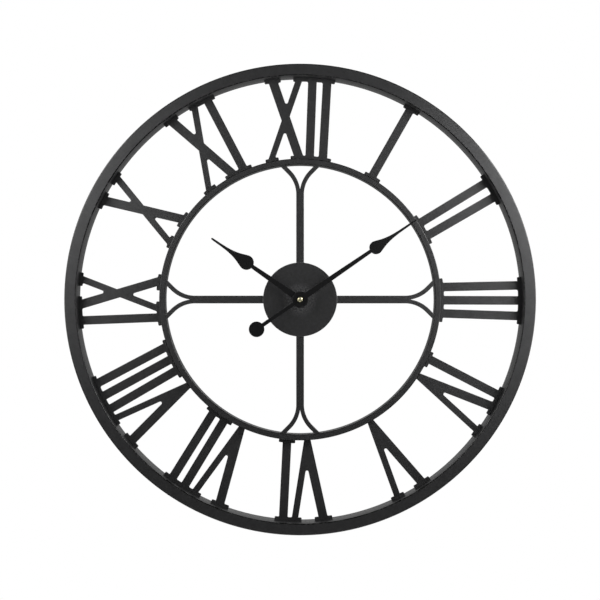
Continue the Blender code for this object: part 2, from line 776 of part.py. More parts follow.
def wheel(name, wheel_teeth, module, wheel_phase, pinion_module, pinion_phase, level, pinion, at):
    """A train wheel with its pinion in front of it, on an arbor with a pivot at each end."""
    arbor, pivot = circle(ARBOR, 10), circle(PIVOT, 10)
    teeth = gear(wheel_teeth, module, wheel_phase)
    leaves = gear(PINION_TEETH, pinion_module, pinion_phase)
    front, back = level
    slabs = [(PLATE_PIVOT, [pivot], PLATE_SHOULDER), (PLATE_SHOULDER, [arbor], pinion[0])]
    slabs += [(pinion[0], [leaves], pinion[1]), (pinion[1], [arbor], front)]
    slabs += [(front, [teeth], back), (back, [arbor], COVER_SHOULDER)]
    slabs.append((COVER_SHOULDER, [pivot], COVER_PIVOT))
    place(name, solid(*slabs), GEAR_PLASTIC, *at)


def widened(level):
    """The level of a pinion, which stands out a little on both sides of the wheel it drives."""
    overlap = 0.2
    return level[0] - overlap, level[1] + overlap


def gear_train(places, phases):
    """The reduction from the rotor to the centre wheel, and the motion work for the hour hand."""
    wheel(
        "third_wheel", THIRD_TEETH, TRAIN_MODULE, phases["third"], TRAIN_MODULE,
        phases["third_pinion"], THIRD_WHEEL, widened(CENTRE_WHEEL), places["third"],
    )
    wheel(
        "second_wheel", SECOND_TEETH, TRAIN_MODULE, phases["second"], TRAIN_MODULE,
        phases["second_pinion"], SECOND_WHEEL, widened(THIRD_WHEEL), places["second"],
    )
    wheel(
        "intermediate_wheel", INTERMEDIATE_TEETH, ROTOR_MODULE, phases["intermediate"],
        TRAIN_MODULE, phases["intermediate_pinion"], INTERMEDIATE_WHEEL, widened(SECOND_WHEEL),
        places["intermediate"],
    )
    pivot, arbor = circle(PIVOT, 10), circle(ARBOR, 10)
    leaves = gear(PINION_TEETH, ROTOR_MODULE, phases["rotor_pinion"])
    pinion_front, pinion_back = widened(INTERMEDIATE_WHEEL)
    rotor = solid(
        (PLATE_PIVOT, [pivot], PLATE_SHOULDER),
        (PLATE_SHOULDER, [arbor], pinion_front),
        (pinion_front, [leaves], pinion_back),
        (pinion_back, [arbor], COVER_SHOULDER),
        (COVER_SHOULDER, [pivot], COVER_PIVOT),
    )
    place("rotor_pinion", rotor, GEAR_PLASTIC, *places["rotor"])
    magnet = ((MAGNET_LEVEL[0], MAGNET_RADIUS), (MAGNET_LEVEL[1], MAGNET_RADIUS))
    magnet = lathe(20, *magnet, bore=ARBOR + REST_GAP, bore_sides=12)
    place("rotor_magnet", magnet, MAGNET, *places["rotor"])

    centre = gear(CENTRE_TEETH, TRAIN_MODULE, phases["centre"])
    collar, bore = circle(COLLAR_RADIUS, 16), circle(SHAFT_RADIUS + RUNNING_GAP, 14)
    centre_wheel = solid(
        (CENTRE_WHEEL[0], [centre, bore], CENTRE_WHEEL[1]),
        (CENTRE_WHEEL[1], [collar, bore], COLLAR_BACK),
    )
    place("centre_wheel", centre_wheel, GEAR_PLASTIC)
    shaft, tip = circle(SHAFT_RADIUS, 14), circle(SHAFT_RADIUS - SHAFT_CHAMFER, 14)
    cannon = gear(CANNON_TEETH, MOTION_MODULE, phases["cannon"])
    pinion_front, pinion_back = widened(MOTION_WHEEL)
    minute_arbor = solid(
        (SHAFT_FRONT, [tip], SHAFT_FRONT + SHAFT_CHAMFER, [shaft]),
        (SHAFT_FRONT + SHAFT_CHAMFER, [shaft], pinion_front),
        (pinion_front, [cannon], pinion_back),
        (pinion_back, [shaft], COVER_SHOULDER),
        (COVER_SHOULDER, [pivot], COVER_PIVOT),
    )
    place("minute_arbor", minute_arbor, STEEL)
    hour = gear(HOUR_TEETH, MOTION_MODULE, phases["hour"])
    tube, bore = circle(TUBE_RADIUS, 24), circle(TUBE_BORE, 14)
    hour_wheel = solid(
        (TUBE_FRONT, [tube, bore], HOUR_WHEEL[0]),
        (HOUR_WHEEL[0], [hour, bore], HOUR_WHEEL[1]),
    )
    place("hour_wheel", hour_wheel, GEAR_PLASTIC)
    motion_teeth = gear(MOTION_TEETH, MOTION_MODULE, phases["motion"])
    motion_leaves = gear(MOTION_PINION_TEETH, MOTION_MODULE, phases["motion_pinion"])
    motion_shoulder = MIDDLE_PLATE[0] - 0.2
    motion = solid(
        (PIVOT_FRONT, [pivot], widened(HOUR_WHEEL)[0]),
        (widened(HOUR_WHEEL)[0], [motion_leaves], MOTION_WHEEL[0]),
        (MOTION_WHEEL[0], [motion_teeth], MOTION_WHEEL[1]),
        (MOTION_WHEEL[1], [arbor], motion_shoulder),
        (motion_shoulder, [pivot], MIDDLE_PLATE[1] - RUNNING_GAP),
    )
    place("motion_wheel", motion, GEAR_PLASTIC, *places["motion"])
    setting_leaves = gear(SETTING_TEETH, MOTION_MODULE, phases["setting"])
    stem = circle(KNOB_STEM, 16)
    knob = gear(KNOB_RIDGES, KNOB_RADIUS * 2 / KNOB_RIDGES, 0.0)
    setting = solid(
        (PIVOT_FRONT, [pivot], pinion_front),
        (pinion_front, [setting_leaves], pinion_back),
        (pinion_back, [stem], KNOB_FRONT),
        (KNOB_FRONT, [knob], KNOB_BACK),
    )
    place("setting_knob", setting, KNOB_PLASTIC, *places["setting"])


def case(places):
    """The front case with its battery bay, the middle plate, and the rear cover."""
    half, inside = CASE / 2, CASE / 2 - CASE_WALL
    outline = rectangle(-half, -half, half, half, CASE_CORNER)
    works = rectangle(-inside, BAY_WALL_TOP, inside, inside, CASE_CORNER - CASE_WALL)
    bay = rectangle(-inside, -inside, inside, BAY_WALL_BOTTOM, CASE_CORNER - CASE_WALL)
    bore = circle(BUSH_BORE, 24)
    sockets = [circle(PIVOT_HOLE, 10, *places[name]) for name in ("motion", "setting")]
    front = solid(
        (CASE_FRONT, [outline, bore], SOCKET_FLOOR),
        (SOCKET_FLOOR, [outline, bore] + sockets, CASE_FRONT + CASE_WALL),
        (CASE_FRONT + CASE_WALL, [outline, works, bay], CASE_REAR),
    )
    place("front_case", front, CASE_PLASTIC)

    side, bottom = inside - REST_GAP, BAY_WALL_TOP + REST_GAP
    plate = rectangle(-side, bottom, side, side, CASE_CORNER - CASE_WALL - REST_GAP)
    stem_hole = circle(KNOB_STEM + RUNNING_GAP, 16, *places["setting"])
    holes = [circle(SHAFT_RADIUS + RUNNING_GAP, 14), stem_hole]
    pivoted = ("third", "second", "intermediate", "rotor", "motion")
    holes += [circle(PIVOT_HOLE, 10, *places[name]) for name in pivoted]
    place("middle_plate", solid((MIDDLE_PLATE[0], [plate] + holes, MIDDLE_PLATE[1])), GEAR_PLASTIC)

    cover = rectangle(-half, BAY_WALL_BOTTOM, half, half, COVER_CORNER)
    recess = circle(RECESS_RADIUS, 20, *places["setting"])
    recess_wall = circle(RECESS_RADIUS + RECESS_WALL, 20, *places["setting"])
    pivots = [circle(PIVOT_HOLE, 10)]
    pivots += [circle(PIVOT_HOLE, 10, *places[name]) for name in pivoted[:-1]]
    rear = solid(
        (RECESS_FLOOR - RECESS_WALL, [recess_wall, stem_hole], RECESS_FLOOR),
        (RECESS_FLOOR, [recess_wall, recess], COVER_FRONT),
        (COVER_FRONT, [cover, recess] + pivots, COVER_BACK),
    )
    place("rear_cover", rear, CASE_PLASTIC)


def motor(places):
    """The stepping motor: stator plate round the rotor, coil core behind it, and the coil."""
    x, z = places["rotor"]
    left, right = x - STATOR_MARGIN, STATOR_RIGHT
    low, high = z - STATOR_HALF_HEIGHT, z + STATOR_HALF_HEIGHT
    plate = rectangle(left, low, right, high)
    overlap = high - 1.0
    left_leg = rectangle(left, overlap, left + LEG_WIDTH, LEG_TOP)
    right_leg = rectangle(right - LEG_WIDTH, overlap, right, LEG_TOP)
    window = circle(STATOR_WINDOW, 20, x, z)
    stator = joined([plate, left_leg, right_leg])
    place("stator", solid((STATOR[0], stator + [window], STATOR[1])), STEEL)
    core = rectangle(left, COIL_Z - CORE_WIDTH / 2, right, COIL_Z + CORE_WIDTH / 2)
    place("coil_core", solid((CORE[0], [core], CORE[1])), STEEL)

    end, middle = (right - left) / 2 - COIL_MARGIN, (left + right) / 2
    cheek, winding = circle(CHEEK_RADIUS, 20), circle(WINDING_RADIUS, 20)
    thick, wide = (CORE[1] - CORE[0]) / 2 + REST_GAP, CORE_WIDTH / 2 + REST_GAP
    slot = rectangle(-thick, -wide, thick, wide)
    coil = solid(
        (-end, [cheek, slot], CHEEK - end),
        (CHEEK - end, [winding, slot], end - CHEEK),
        (end - CHEEK, [cheek, slot], end),
    )
    middle_y = (CORE[0] + CORE[1]) / 2
    place("coil", coil, COPPER, middle, COIL_Z, across=90.0, y=middle_y)


def electronics():
    """The circuit board up the left side, with its chip under epoxy and its crystal."""
    board = rectangle(*BOARD_CORNERS, 1.0)
    place("circuit_board", solid((BOARD_LEVEL[0], [board], BOARD_LEVEL[1])), BOARD)
    middle, rest = (BOARD_CORNERS[0] + BOARD_CORNERS[2]) / 2, BOARD_LEVEL[1] + REST_GAP
    chip = [(rest, CHIP_RADIUS)]
    chip += [(rest + height, radius) for height, radius in (CHIP_SHOULDER, CHIP_TOP)]
    place("chip", lathe(16, *chip), CHIP, middle, CHIP_Z)
    half, chamfer = CAN_LENGTH / 2, 0.1
    can = ((-half, CAN_RADIUS - chamfer), (chamfer - half, CAN_RADIUS), (half, CAN_RADIUS))
    # the can lies across the board, so it is turned about Z
    place(
        "quartz_crystal", lathe(14, *can), STEEL, middle, CAN_Z, across=90.0, y=rest + CAN_RADIUS
    )


def battery():
    """The cell, and the spring and flat contacts at its ends."""
    half = BATTERY_LENGTH / 2
    can_end = half - BATTERY_CAP
    stations = (
        (-half, BATTERY_RADIUS - BATTERY_CORNER),
        (-half + BATTERY_CORNER, BATTERY_RADIUS),
        (can_end - BATTERY_CORNER, BATTERY_RADIUS),
        (can_end, BATTERY_RADIUS - BATTERY_CORNER),
        (can_end, CAP_BASE_RADIUS),
        (half, CAP_END_RADIUS),
    )
    # a cell along local Y turned by -90 degrees about Z has its positive end at +X
    cell = lathe(28, *stations)
    place("battery", cell, CELL_SLEEVE, 0.0, BATTERY_Z, across=-90.0, y=BATTERY_Y)
    back = CASE / 2 - CASE_WALL - REST_GAP
    front, tip = back - CONTACT_SHEET, half + REST_GAP
    wide, high = CONTACT_WIDTH / 2, CONTACT_HEIGHT / 2
    for name, side, foot in (("contact_plus", 1, PLUS_FOOT), ("contact_minus", -1, MINUS_FOOT)):
        plate = rectangle(-wide, BATTERY_Z - high, wide, BATTERY_Z + high, CONTACT_CORNER)
        bump, root = (circle(radius, 14, 0.0, BATTERY_Z) for radius in (CONTACT_TIP, foot))
        contact = solid((tip, [bump], front, [root]), (front, [plate], back))
        place(name, contact, PLATING, across=-90.0 * side, y=BATTERY_Y)


def build():
    for old in list(bpy.data.objects):
        bpy.data.objects.remove(old)
    centre = bpy.data.objects.new("dial_centre", None)
    centre.location = (0.0, 0.0, -HOOK_AT * MM)
    bpy.context.collection.objects.link(centre)
    outer_ring()
    inner_ring()
    numerals()
    spokes()
    hub()
    hands()
    places, phases = arbors()
    case(places)
    gear_train(places, phases)
    motor(places)
    electronics()
    battery()
    bpy.context.view_layer.update()


build()
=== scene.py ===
"""Looks of the skeleton wall clock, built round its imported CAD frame.

The dial lies in the XZ plane and faces -Y, with 12 at +Z. Outlines are drawn on the dial in
millimetres from its middle, and an angle is in degrees clockwise from 12.
"""

import math

import bmesh
import bpy
from mathutils import Matrix, Vector
from mathutils.geometry import delaunay_2d_cdt


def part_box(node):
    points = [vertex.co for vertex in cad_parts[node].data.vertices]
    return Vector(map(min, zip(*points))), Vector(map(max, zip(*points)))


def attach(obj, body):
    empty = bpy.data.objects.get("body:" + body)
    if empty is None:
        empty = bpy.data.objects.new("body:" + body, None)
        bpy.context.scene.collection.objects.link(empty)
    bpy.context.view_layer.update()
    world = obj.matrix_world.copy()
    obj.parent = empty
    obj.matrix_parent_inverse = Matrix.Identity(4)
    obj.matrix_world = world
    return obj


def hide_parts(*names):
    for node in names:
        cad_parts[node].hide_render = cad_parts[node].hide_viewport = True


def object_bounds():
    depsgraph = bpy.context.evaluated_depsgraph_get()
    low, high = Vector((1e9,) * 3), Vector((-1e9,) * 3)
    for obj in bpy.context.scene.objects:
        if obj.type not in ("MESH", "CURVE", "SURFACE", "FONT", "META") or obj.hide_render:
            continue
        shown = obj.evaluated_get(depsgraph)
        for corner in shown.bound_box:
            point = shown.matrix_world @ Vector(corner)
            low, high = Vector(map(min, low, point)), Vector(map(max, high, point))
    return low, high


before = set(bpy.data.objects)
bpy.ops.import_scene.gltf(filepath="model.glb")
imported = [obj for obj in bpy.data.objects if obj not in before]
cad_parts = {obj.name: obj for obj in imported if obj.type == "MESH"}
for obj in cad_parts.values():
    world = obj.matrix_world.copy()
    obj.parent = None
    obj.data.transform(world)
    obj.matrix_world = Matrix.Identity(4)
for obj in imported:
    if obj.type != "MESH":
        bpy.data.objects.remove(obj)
CAD_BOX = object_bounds()

MM = 0.001
DIAL = (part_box("hub_disc")[0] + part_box("hub_disc")[1]) / 2


def levels(node):
    """Where a CAD node starts and ends along Y, in millimetres."""
    low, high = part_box(node)
    return low.y / MM, high.y / MM


def reach(node):
    """Half of a round CAD node's width, in millimetres."""
    low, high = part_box(node)
    return (high.x - low.x) / 2 / MM


def place_of(node):
    """The middle of a CAD node on the dial, in millimetres."""
    low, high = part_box(node)
    return (low.x + high.x) / 2 / MM, ((low.z + high.z) / 2 - DIAL.z) / MM


# Rings
RING_OUTER = reach("outer_ring")
RING_INNER = RING_OUTER - 15.0
RING_WALL = 1.2
RING_CORNER = 1.5
INNER_OUTER = reach("inner_ring")
INNER_INNER = INNER_OUTER - 7.7
INNER_CORNER = 1.0
RING_SIDES = 288
SEAM_AT = 280.6
SEAM_WIDTH = 1.3
SEAM_RISE = 0.010

# Keyhole in the outer ring's back wall
KEYHOLE_HEAD = 4.2
KEYHOLE_SLOT = 2.1
KEYHOLE_HEAD_AT = 290.8
HOOK_AT = 295.0

# Numeral plates. Their feet sink into the rings, which they are welded to
PLATE_TOP = 284.4
PLATE_BOTTOM = 180.6
SERIF = 4.3
READ_TOP = 280.3
READ_BOTTOM = 187.7
BAR = 11.2
THICK = 11.5
THIN = 8.4
APEX = 4.2
SERIF_CORNER = 1.4
WINDOW_CORNER = 1.9
SINK = 2.2
PLATE_EDGE = 0.35

# Spokes
SPOKE_WIDTH = 9.9
SPOKE_START = 30.0
BRANCH_WIDTH = 5.4
FORK_START = 134.8
FORK_BEND = 40.0
FORK_ANGLE = 45.0
FORK_END = 174.0
PAD_RADIUS = 46.6
PAD_START = 41.0
PAD_WIDTH = 19.0
PAD_CORNER = 2.5
SPOKE_EDGE = 0.6

# Hands, at nine minutes past ten. Each is a boss, a stem that tapers to its neck, a bulb that
# runs out into a leaf, and a needle; the minute hand also has a tail with a counterweight
MINUTE_ANGLE = 55.6
HOUR_ANGLE = 304.63
HOUR_SHAPE = {
    "boss": 10.6, "stem": 8.4, "neck": 5.2, "bulb": 9.4, "bulb_at": 82.8, "tip": 137.0
}
MINUTE_SHAPE = {
    "boss": 9.8, "stem": 7.6, "neck": 4.7, "bulb": 8.5, "bulb_at": 116.6, "tip": 179.0
}
LEAF_LEAVES = 18.0
LEAF_RUN = 41.0
LEAF_PULL = 9.0
NEEDLE_PULL = 24.0
NEEDLE_BASE = 3.1
NEEDLE_TIP = 2.5
TAIL_WIDTH = 5.0
WEIGHT_RADIUS = 9.9
WEIGHT_AT = -66.8
HAND_EDGE = 0.22

# Hub: the disc's hole, the washers, the nut and the bushing that clamp the movement
HUB_BORE = 4.4
HUB_CORNER = 0.55
RUBBER_RADIUS = 10.0
BRASS_RADIUS = 8.5
NUT_FLATS = 11.0
NUT_BORE = 4.3
THREAD_CREST = 4.0
THREAD_ROOT = 3.78
THREAD_PITCH = 0.75
BUSHING_BORE = 2.6
HOUR_BORE = 2.55
MINUTE_BORE = 1.0

# Welds: how far each run reaches and how thick it is
NUMERAL_WELD = 11.0
NUMERAL_BEAD = 1.5
HUB_BEAD = 1.0

# Movement, 56 mm square
CASE = 56.0
CASE_WALL = 1.2
CASE_CORNER = 3.0
BAY_WALL_TOP = -11.2
BAY_WALL_BOTTOM = -12.0
RECESS_RADIUS = 6.2


def circle(radius, sides, x=0.0, z=0.0):
    """Points of a circle, anticlockwise from the +X side."""
    steps = [2 * math.pi * i / sides for i in range(sides)]
    return [(x + radius * math.cos(a), z + radius * math.sin(a)) for a in steps]


def arc(radius, start, end, steps, x=0.0, z=0.0):
    """Points along an arc, ends included, between two angles from +X in degrees."""
    angles = [math.radians(start + (end - start) * i / steps) for i in range(steps + 1)]
    return [(x + radius * math.cos(a), z + radius * math.sin(a)) for a in angles]


def rectangle(x0, z0, x1, z1, corner=0.0, steps=6):
    """A rectangle between two corners, with its corners rounded or square."""
    if not corner:
        return [(x0, z0), (x1, z0), (x1, z1), (x0, z1)]
    points = []
    centres = ((x1, z1, -1, -1, 0), (x0, z1, 1, -1, 90), (x0, z0, 1, 1, 180), (x1, z0, -1, 1, 270))
    for x, z, inward_x, inward_z, turn in centres:
        middle = x + inward_x * corner, z + inward_z * corner
        points += arc(corner, turn, turn + 90, steps, *middle)
    return points


def on_dial(along, radius, angle=0.0):
    """The point at an arc length along a circle of the dial, clockwise from the given angle."""
    turn = math.radians(angle) + along / radius
    return radius * math.sin(turn), radius * math.cos(turn)


def turned(points, angle):
    """Points turned clockwise about the dial's middle."""
    turn = math.radians(angle)
    return [
        (x * math.cos(turn) + z * math.sin(turn), z * math.cos(turn) - x * math.sin(turn))
        for x, z in points
    ]


def area(loop):
    """The area inside a loop, below zero if it runs clockwise."""
    return sum(x0 * z1 - x1 * z0 for (x0, z0), (x1, z1) in zip(loop, loop[1:] + loop[:1])) / 2


def straightened(loop, least=1e-4):
    """A loop without the points that lie on a straight run."""
    kept = []
    for i, (x, z) in enumerate(loop):
        (x0, z0), (x1, z1) = loop[i - 1], loop[(i + 1) % len(loop)]
        if abs((x - x0) * (z1 - z) - (z - z0) * (x1 - x)) > least:
            kept.append((x, z))
    return kept


def joined(shapes):
    """The outlines of overlapping shapes made one, each with its material on the left."""
    points, faces = [], []
    for shape in shapes:
        shape = shape if area(shape) > 0 else shape[::-1]
        faces.append(list(range(len(points), len(points) + len(shape))))
        points += shape
    vertices, _, triangles, _, _, owners = delaunay_2d_cdt(points, [], faces, 1, 1e-6, True)
    edges = set()
    for triangle, owner in zip(triangles, owners):
        if owner:
            edges.update(zip(triangle, triangle[1:] + triangle[:1]))
    follow = {a: b for a, b in sorted(edges) if (b, a) not in edges}
    loops = []
    while follow:
        start = min(follow)
        here = follow.pop(start)
        loop = [start]
        while here != start:
            loop.append(here)
            here = follow.pop(here)
        loops.append([tuple(vertices[i]) for i in loop])
    return [straightened(loop) for loop in loops]


def rounded(loop, outer, inner, steps, sharpest=20.0):
    """A loop with its corners rounded: outer is the radius on material, inner in a recess."""
    points = []
    for i, (x, z) in enumerate(loop):
        (x0, z0), (x1, z1) = loop[i - 1], loop[(i + 1) % len(loop)]
        back, ahead = math.dist((x, z), (x0, z0)), math.dist((x, z), (x1, z1))
        ux, uz = (x - x0) / back, (z - z0) / back
        vx, vz = (x1 - x) / ahead, (z1 - z) / ahead
        turn = math.atan2(ux * vz - uz * vx, ux * vx + uz * vz)
        radius = outer if turn > 0 else inner
        if abs(turn) < math.radians(sharpest) or not radius:
            points.append((x, z))
            continue
        run = min(radius * math.tan(abs(turn) / 2), 0.48 * back, 0.48 * ahead)
        radius = run / math.tan(abs(turn) / 2)
        side = math.copysign(1.0, turn)
        middle = x - ux * run - uz * radius * side, z - uz * run + ux * radius * side
        first = math.atan2(z - uz * run - middle[1], x - ux * run - middle[0])
        points += arc(radius, math.degrees(first), math.degrees(first + turn), steps, *middle)
    return points


def inset(loop, distance):
    """A loop moved into its material, which lies on its left, point for point."""
    moved = []
    for i, (x, z) in enumerate(loop):
        (x0, z0), (x1, z1) = loop[i - 1], loop[(i + 1) % len(loop)]
        back, ahead = math.dist((x, z), (x0, z0)), math.dist((x, z), (x1, z1))
        nx, nz = -(z - z0) / back - (z1 - z) / ahead, (x - x0) / back + (x1 - x) / ahead
        share = 2 * distance / max(nx * nx + nz * nz, 1.0)
        moved.append((x + nx * share, z + nz * share))
    return moved


def solid(*slabs):
    """A closed mesh made of slabs stacked along Y, each (y0, loops, y1) or (y0, loops, y1, loops).

    A loop that goes on into the next slab is the same list there, and is left open between them.
    """
    mesh = bmesh.new()
    rings, open_at = {}, {}

    def ring(points, y):
        key = id(points), y
        if key not in rings:
            verts = [mesh.verts.new((x * MM, y * MM, z * MM)) for x, z in points]
            rings[key] = verts, [mesh.edges.new(p) for p in zip(verts, verts[1:] + verts[:1])]
        return rings[key]

    for y0, loops, y1, *more in slabs:
        for first, last in zip(loops, more[0] if more else loops):
            if first is last and y0 == y1:
                continue
            front, back = ring(first, y0)[0], ring(last, y1)[0]
            for i in range(len(front)):
                mesh.faces.new((front[i - 1], front[i], back[i], back[i - 1]))
            for points, y in ((first, y0), (last, y1)):
                level = open_at.setdefault(y, {})
                if level.pop(id(points), None) is None:
                    level[id(points)] = ring(points, y)[1]
    for level in open_at.values():
        edges = [edge for ring_edges in level.values() for edge in ring_edges]
        if edges:
            bmesh.ops.triangle_fill(mesh, use_beauty=True, edges=edges, normal=(0, 1, 0))
    bmesh.ops.recalc_face_normals(mesh, faces=mesh.faces)
    return mesh


def stacked(path):
    """Slabs between the levels of a path, each a place along Y and its loops."""
    return [(y0, a, y1, b) for (y0, a), (y1, b) in zip(path, path[1:])]


def quarter(radius, steps):
    """How far each step of a rounded edge lies behind its face and inside its wall."""
    bends = [math.pi / 2 * i / steps for i in range(steps + 1)]
    return [(radius * (1 - math.cos(b)), radius * (1 - math.sin(b))) for b in bends]


def rounding(loops, level, radius, inward, steps=3, rim=0.7):
    """Slabs for a rounded edge, from the flat face at a level inward along Y.

    A narrow flat rim inside the edge keeps the shading of the face flat, and holds the edge tint,
    which is wear on some finishes and a painted highlight or painted shade on others.
    """
    path = [(level, [inset(loop, radius + rim) for loop in loops])]
    for i, (depth, share) in enumerate(quarter(radius, steps)):
        here = loops if i == steps else [inset(loop, share) for loop in loops]
        path.append((level + inward * depth, here))
    return stacked(path)


def plate(loops, front, back, edge, steps=3, rim=0.7):
    """A flat sheet cut to an outline, with its edges rounded over."""
    top = rounding(loops, front, edge, 1, steps, rim)
    bottom = rounding(loops, back, edge, -1, steps, rim)
    bottom = [(y1, b, y0, a) for y0, a, y1, b in reversed(bottom)]
    return solid(*top, (front + edge, loops, back - edge), *bottom)


def skin(mesh, rings):
    """Faces from each ring of vertices to the next."""
    for first, last in zip(rings, rings[1:]):
        for i in range(len(first)):
            mesh.faces.new((first[i - 1], first[i], last[i], last[i - 1]))


def lathe(sides, stations, bore=None):
    """A turned piece about Y, solid or with a bore. A station is (y, radius)."""
    if bore is None:
        return solid(*stacked([(y, [circle(radius, sides)]) for y, radius in stations]))
    mesh = bmesh.new()
    rings = []
    for y, radius in stations + [(stations[-1][0], bore), (stations[0][0], bore)]:
        points = circle(radius, sides)
        rings.append([mesh.verts.new((x * MM, y * MM, z * MM)) for x, z in points])
    skin(mesh, rings + rings[:1])
    bmesh.ops.recalc_face_normals(mesh, faces=mesh.faces)
    return mesh


def bead(path, radius, ripples):
    """A run of weld along a path of points, with its ripples and tapered ends."""
    mesh, sides, count = bmesh.new(), 10, len(path)
    rings = []
    for i, point in enumerate(path):
        ahead = (Vector(path[min(i + 1, count - 1)]) - Vector(path[max(i - 1, 0)])).normalized()
        across = ahead.cross(Vector((0, 1, 0))).normalized()
        share = i / (count - 1)
        swell = math.sin(math.pi * min(share, 1 - share, 0.12) / 0.24) ** 0.6
        swell *= 1 + 0.10 * abs(math.sin(math.pi * ripples * share))
        swell = max(swell, 0.05)
        verts = []
        for k in range(sides):
            turn = 2 * math.pi * k / sides
            off = across * math.cos(turn) + Vector((0, 1, 0)) * math.sin(turn)
            verts.append(mesh.verts.new((Vector(point) + off * radius * swell) * MM))
        rings.append(verts)
    skin(mesh, rings)
    mesh.faces.new(rings[0])
    mesh.faces.new(rings[-1])
    bmesh.ops.recalc_face_normals(mesh, faces=mesh.faces)
    return mesh


def weld_run(middle, radius, angle, length, y, thickness, ripples):
    """A weld run along a circle of the dial, round an arc length from the given angle."""
    path = []
    for i in range(25):
        x, z = on_dial(middle + (i / 24 - 0.5) * length, radius, angle)
        path.append((x, y, z))
    return bead(path, thickness, ripples)


def merged(meshes):
    """Several meshes as one."""
    whole = bmesh.new()
    for mesh in meshes:
        data = bpy.data.meshes.new("part")
        mesh.to_mesh(data)
        mesh.free()
        whole.from_mesh(data)
        bpy.data.meshes.remove(data)
    return whole


def add_piece(name, mesh, finish, body, nodes=(), turn=None):
    """Makes a piece of the visual model from a mesh drawn on the dial."""
    if turn is not None:
        bmesh.ops.transform(mesh, matrix=turn, verts=mesh.verts)
    bmesh.ops.translate(mesh, vec=(DIAL.x, 0, DIAL.z), verts=mesh.verts)
    # The edge mask drives each finish's edge tint: wear on some finishes, painted highlights and
    # painted shade on others.
    wear_and_light_layer = mesh.verts.layers.float.new("edge")
    for vert in mesh.verts:
        bends = [edge.calc_face_angle(0.0) for edge in vert.link_edges]
        vert[wear_and_light_layer] = min(1.0, max(bends, default=0.0) / math.radians(20))
    data = bpy.data.meshes.new(name)
    mesh.to_mesh(data)
    mesh.free()
    data.shade_smooth()
    data.set_sharp_from_angle(angle=math.radians(40))
    data.materials.append(finish)
    piece = bpy.data.objects.new(name, data)
    bpy.context.scene.collection.objects.link(piece)
    weighted = piece.modifiers.new("weighted", "WEIGHTED_NORMAL")
    weighted.keep_sharp = True
    weighted.weight = 80
    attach(piece, body)
    if nodes:
        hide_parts(*nodes)
    return piece


# ---- materials


def graph(name, colour, roughness, metallic=0.0, **constants):
    """A material with its Principled shader, and a function that adds nodes to it."""
    made = bpy.data.materials.new(name)
    made.use_nodes = True
    tree = made.node_tree
    shader = tree.nodes["Principled BSDF"]
    shader.inputs["Base Color"].default_value = (*colour, 1.0)
    shader.inputs["Roughness"].default_value = roughness
    shader.inputs["Metallic"].default_value = metallic
    for socket, value in constants.items():
        shader.inputs[socket.replace("_", " ")].default_value = value

    def node(kind, links=(), **settings):
        new = tree.nodes.new(kind)
        for key, value in settings.items():
            if hasattr(new, key):
                setattr(new, key, value)
            else:
                new.inputs[key.replace("_", " ")].default_value = value
        for socket, source in dict(links).items():
            tree.links.new(source, new.inputs[socket])
        return new

    return made, tree, shader, node


def mixed(node, mask, first, second):
    """The colour socket of a mix of two colours or sockets."""
    mix = node("ShaderNodeMix", data_type="RGBA")
    tree_links = mix.id_data.links
    tree_links.new(mask, mix.inputs["Factor"])
    for socket, value in ((mix.inputs[6], first), (mix.inputs[7], second)):
        if isinstance(value, tuple):
            socket.default_value = (*value, 1.0)
        else:
            tree_links.new(value, socket)
    return mix.outputs[2]


def ranged(node, source, low, high, from_low=0.3, from_high=0.7, **settings):
    """A value brought from one range to another."""
    made = node("ShaderNodeMapRange", {"Value": source}, **settings)
    made.inputs["From Min"].default_value = from_low
    made.inputs["From Max"].default_value = from_high
    made.inputs["To Min"].default_value = low
    made.inputs["To Max"].default_value = high
    return made.outputs["Result"]


def noise(node, place, size, detail, roughness=0.5):
    """Noise with features of a size in millimetres."""
    links = {"Vector": place}
    made = node("ShaderNodeTexNoise", links, Scale=1 / (size * MM), Detail=detail, Roughness=roughness)
    return made.outputs["Fac"]


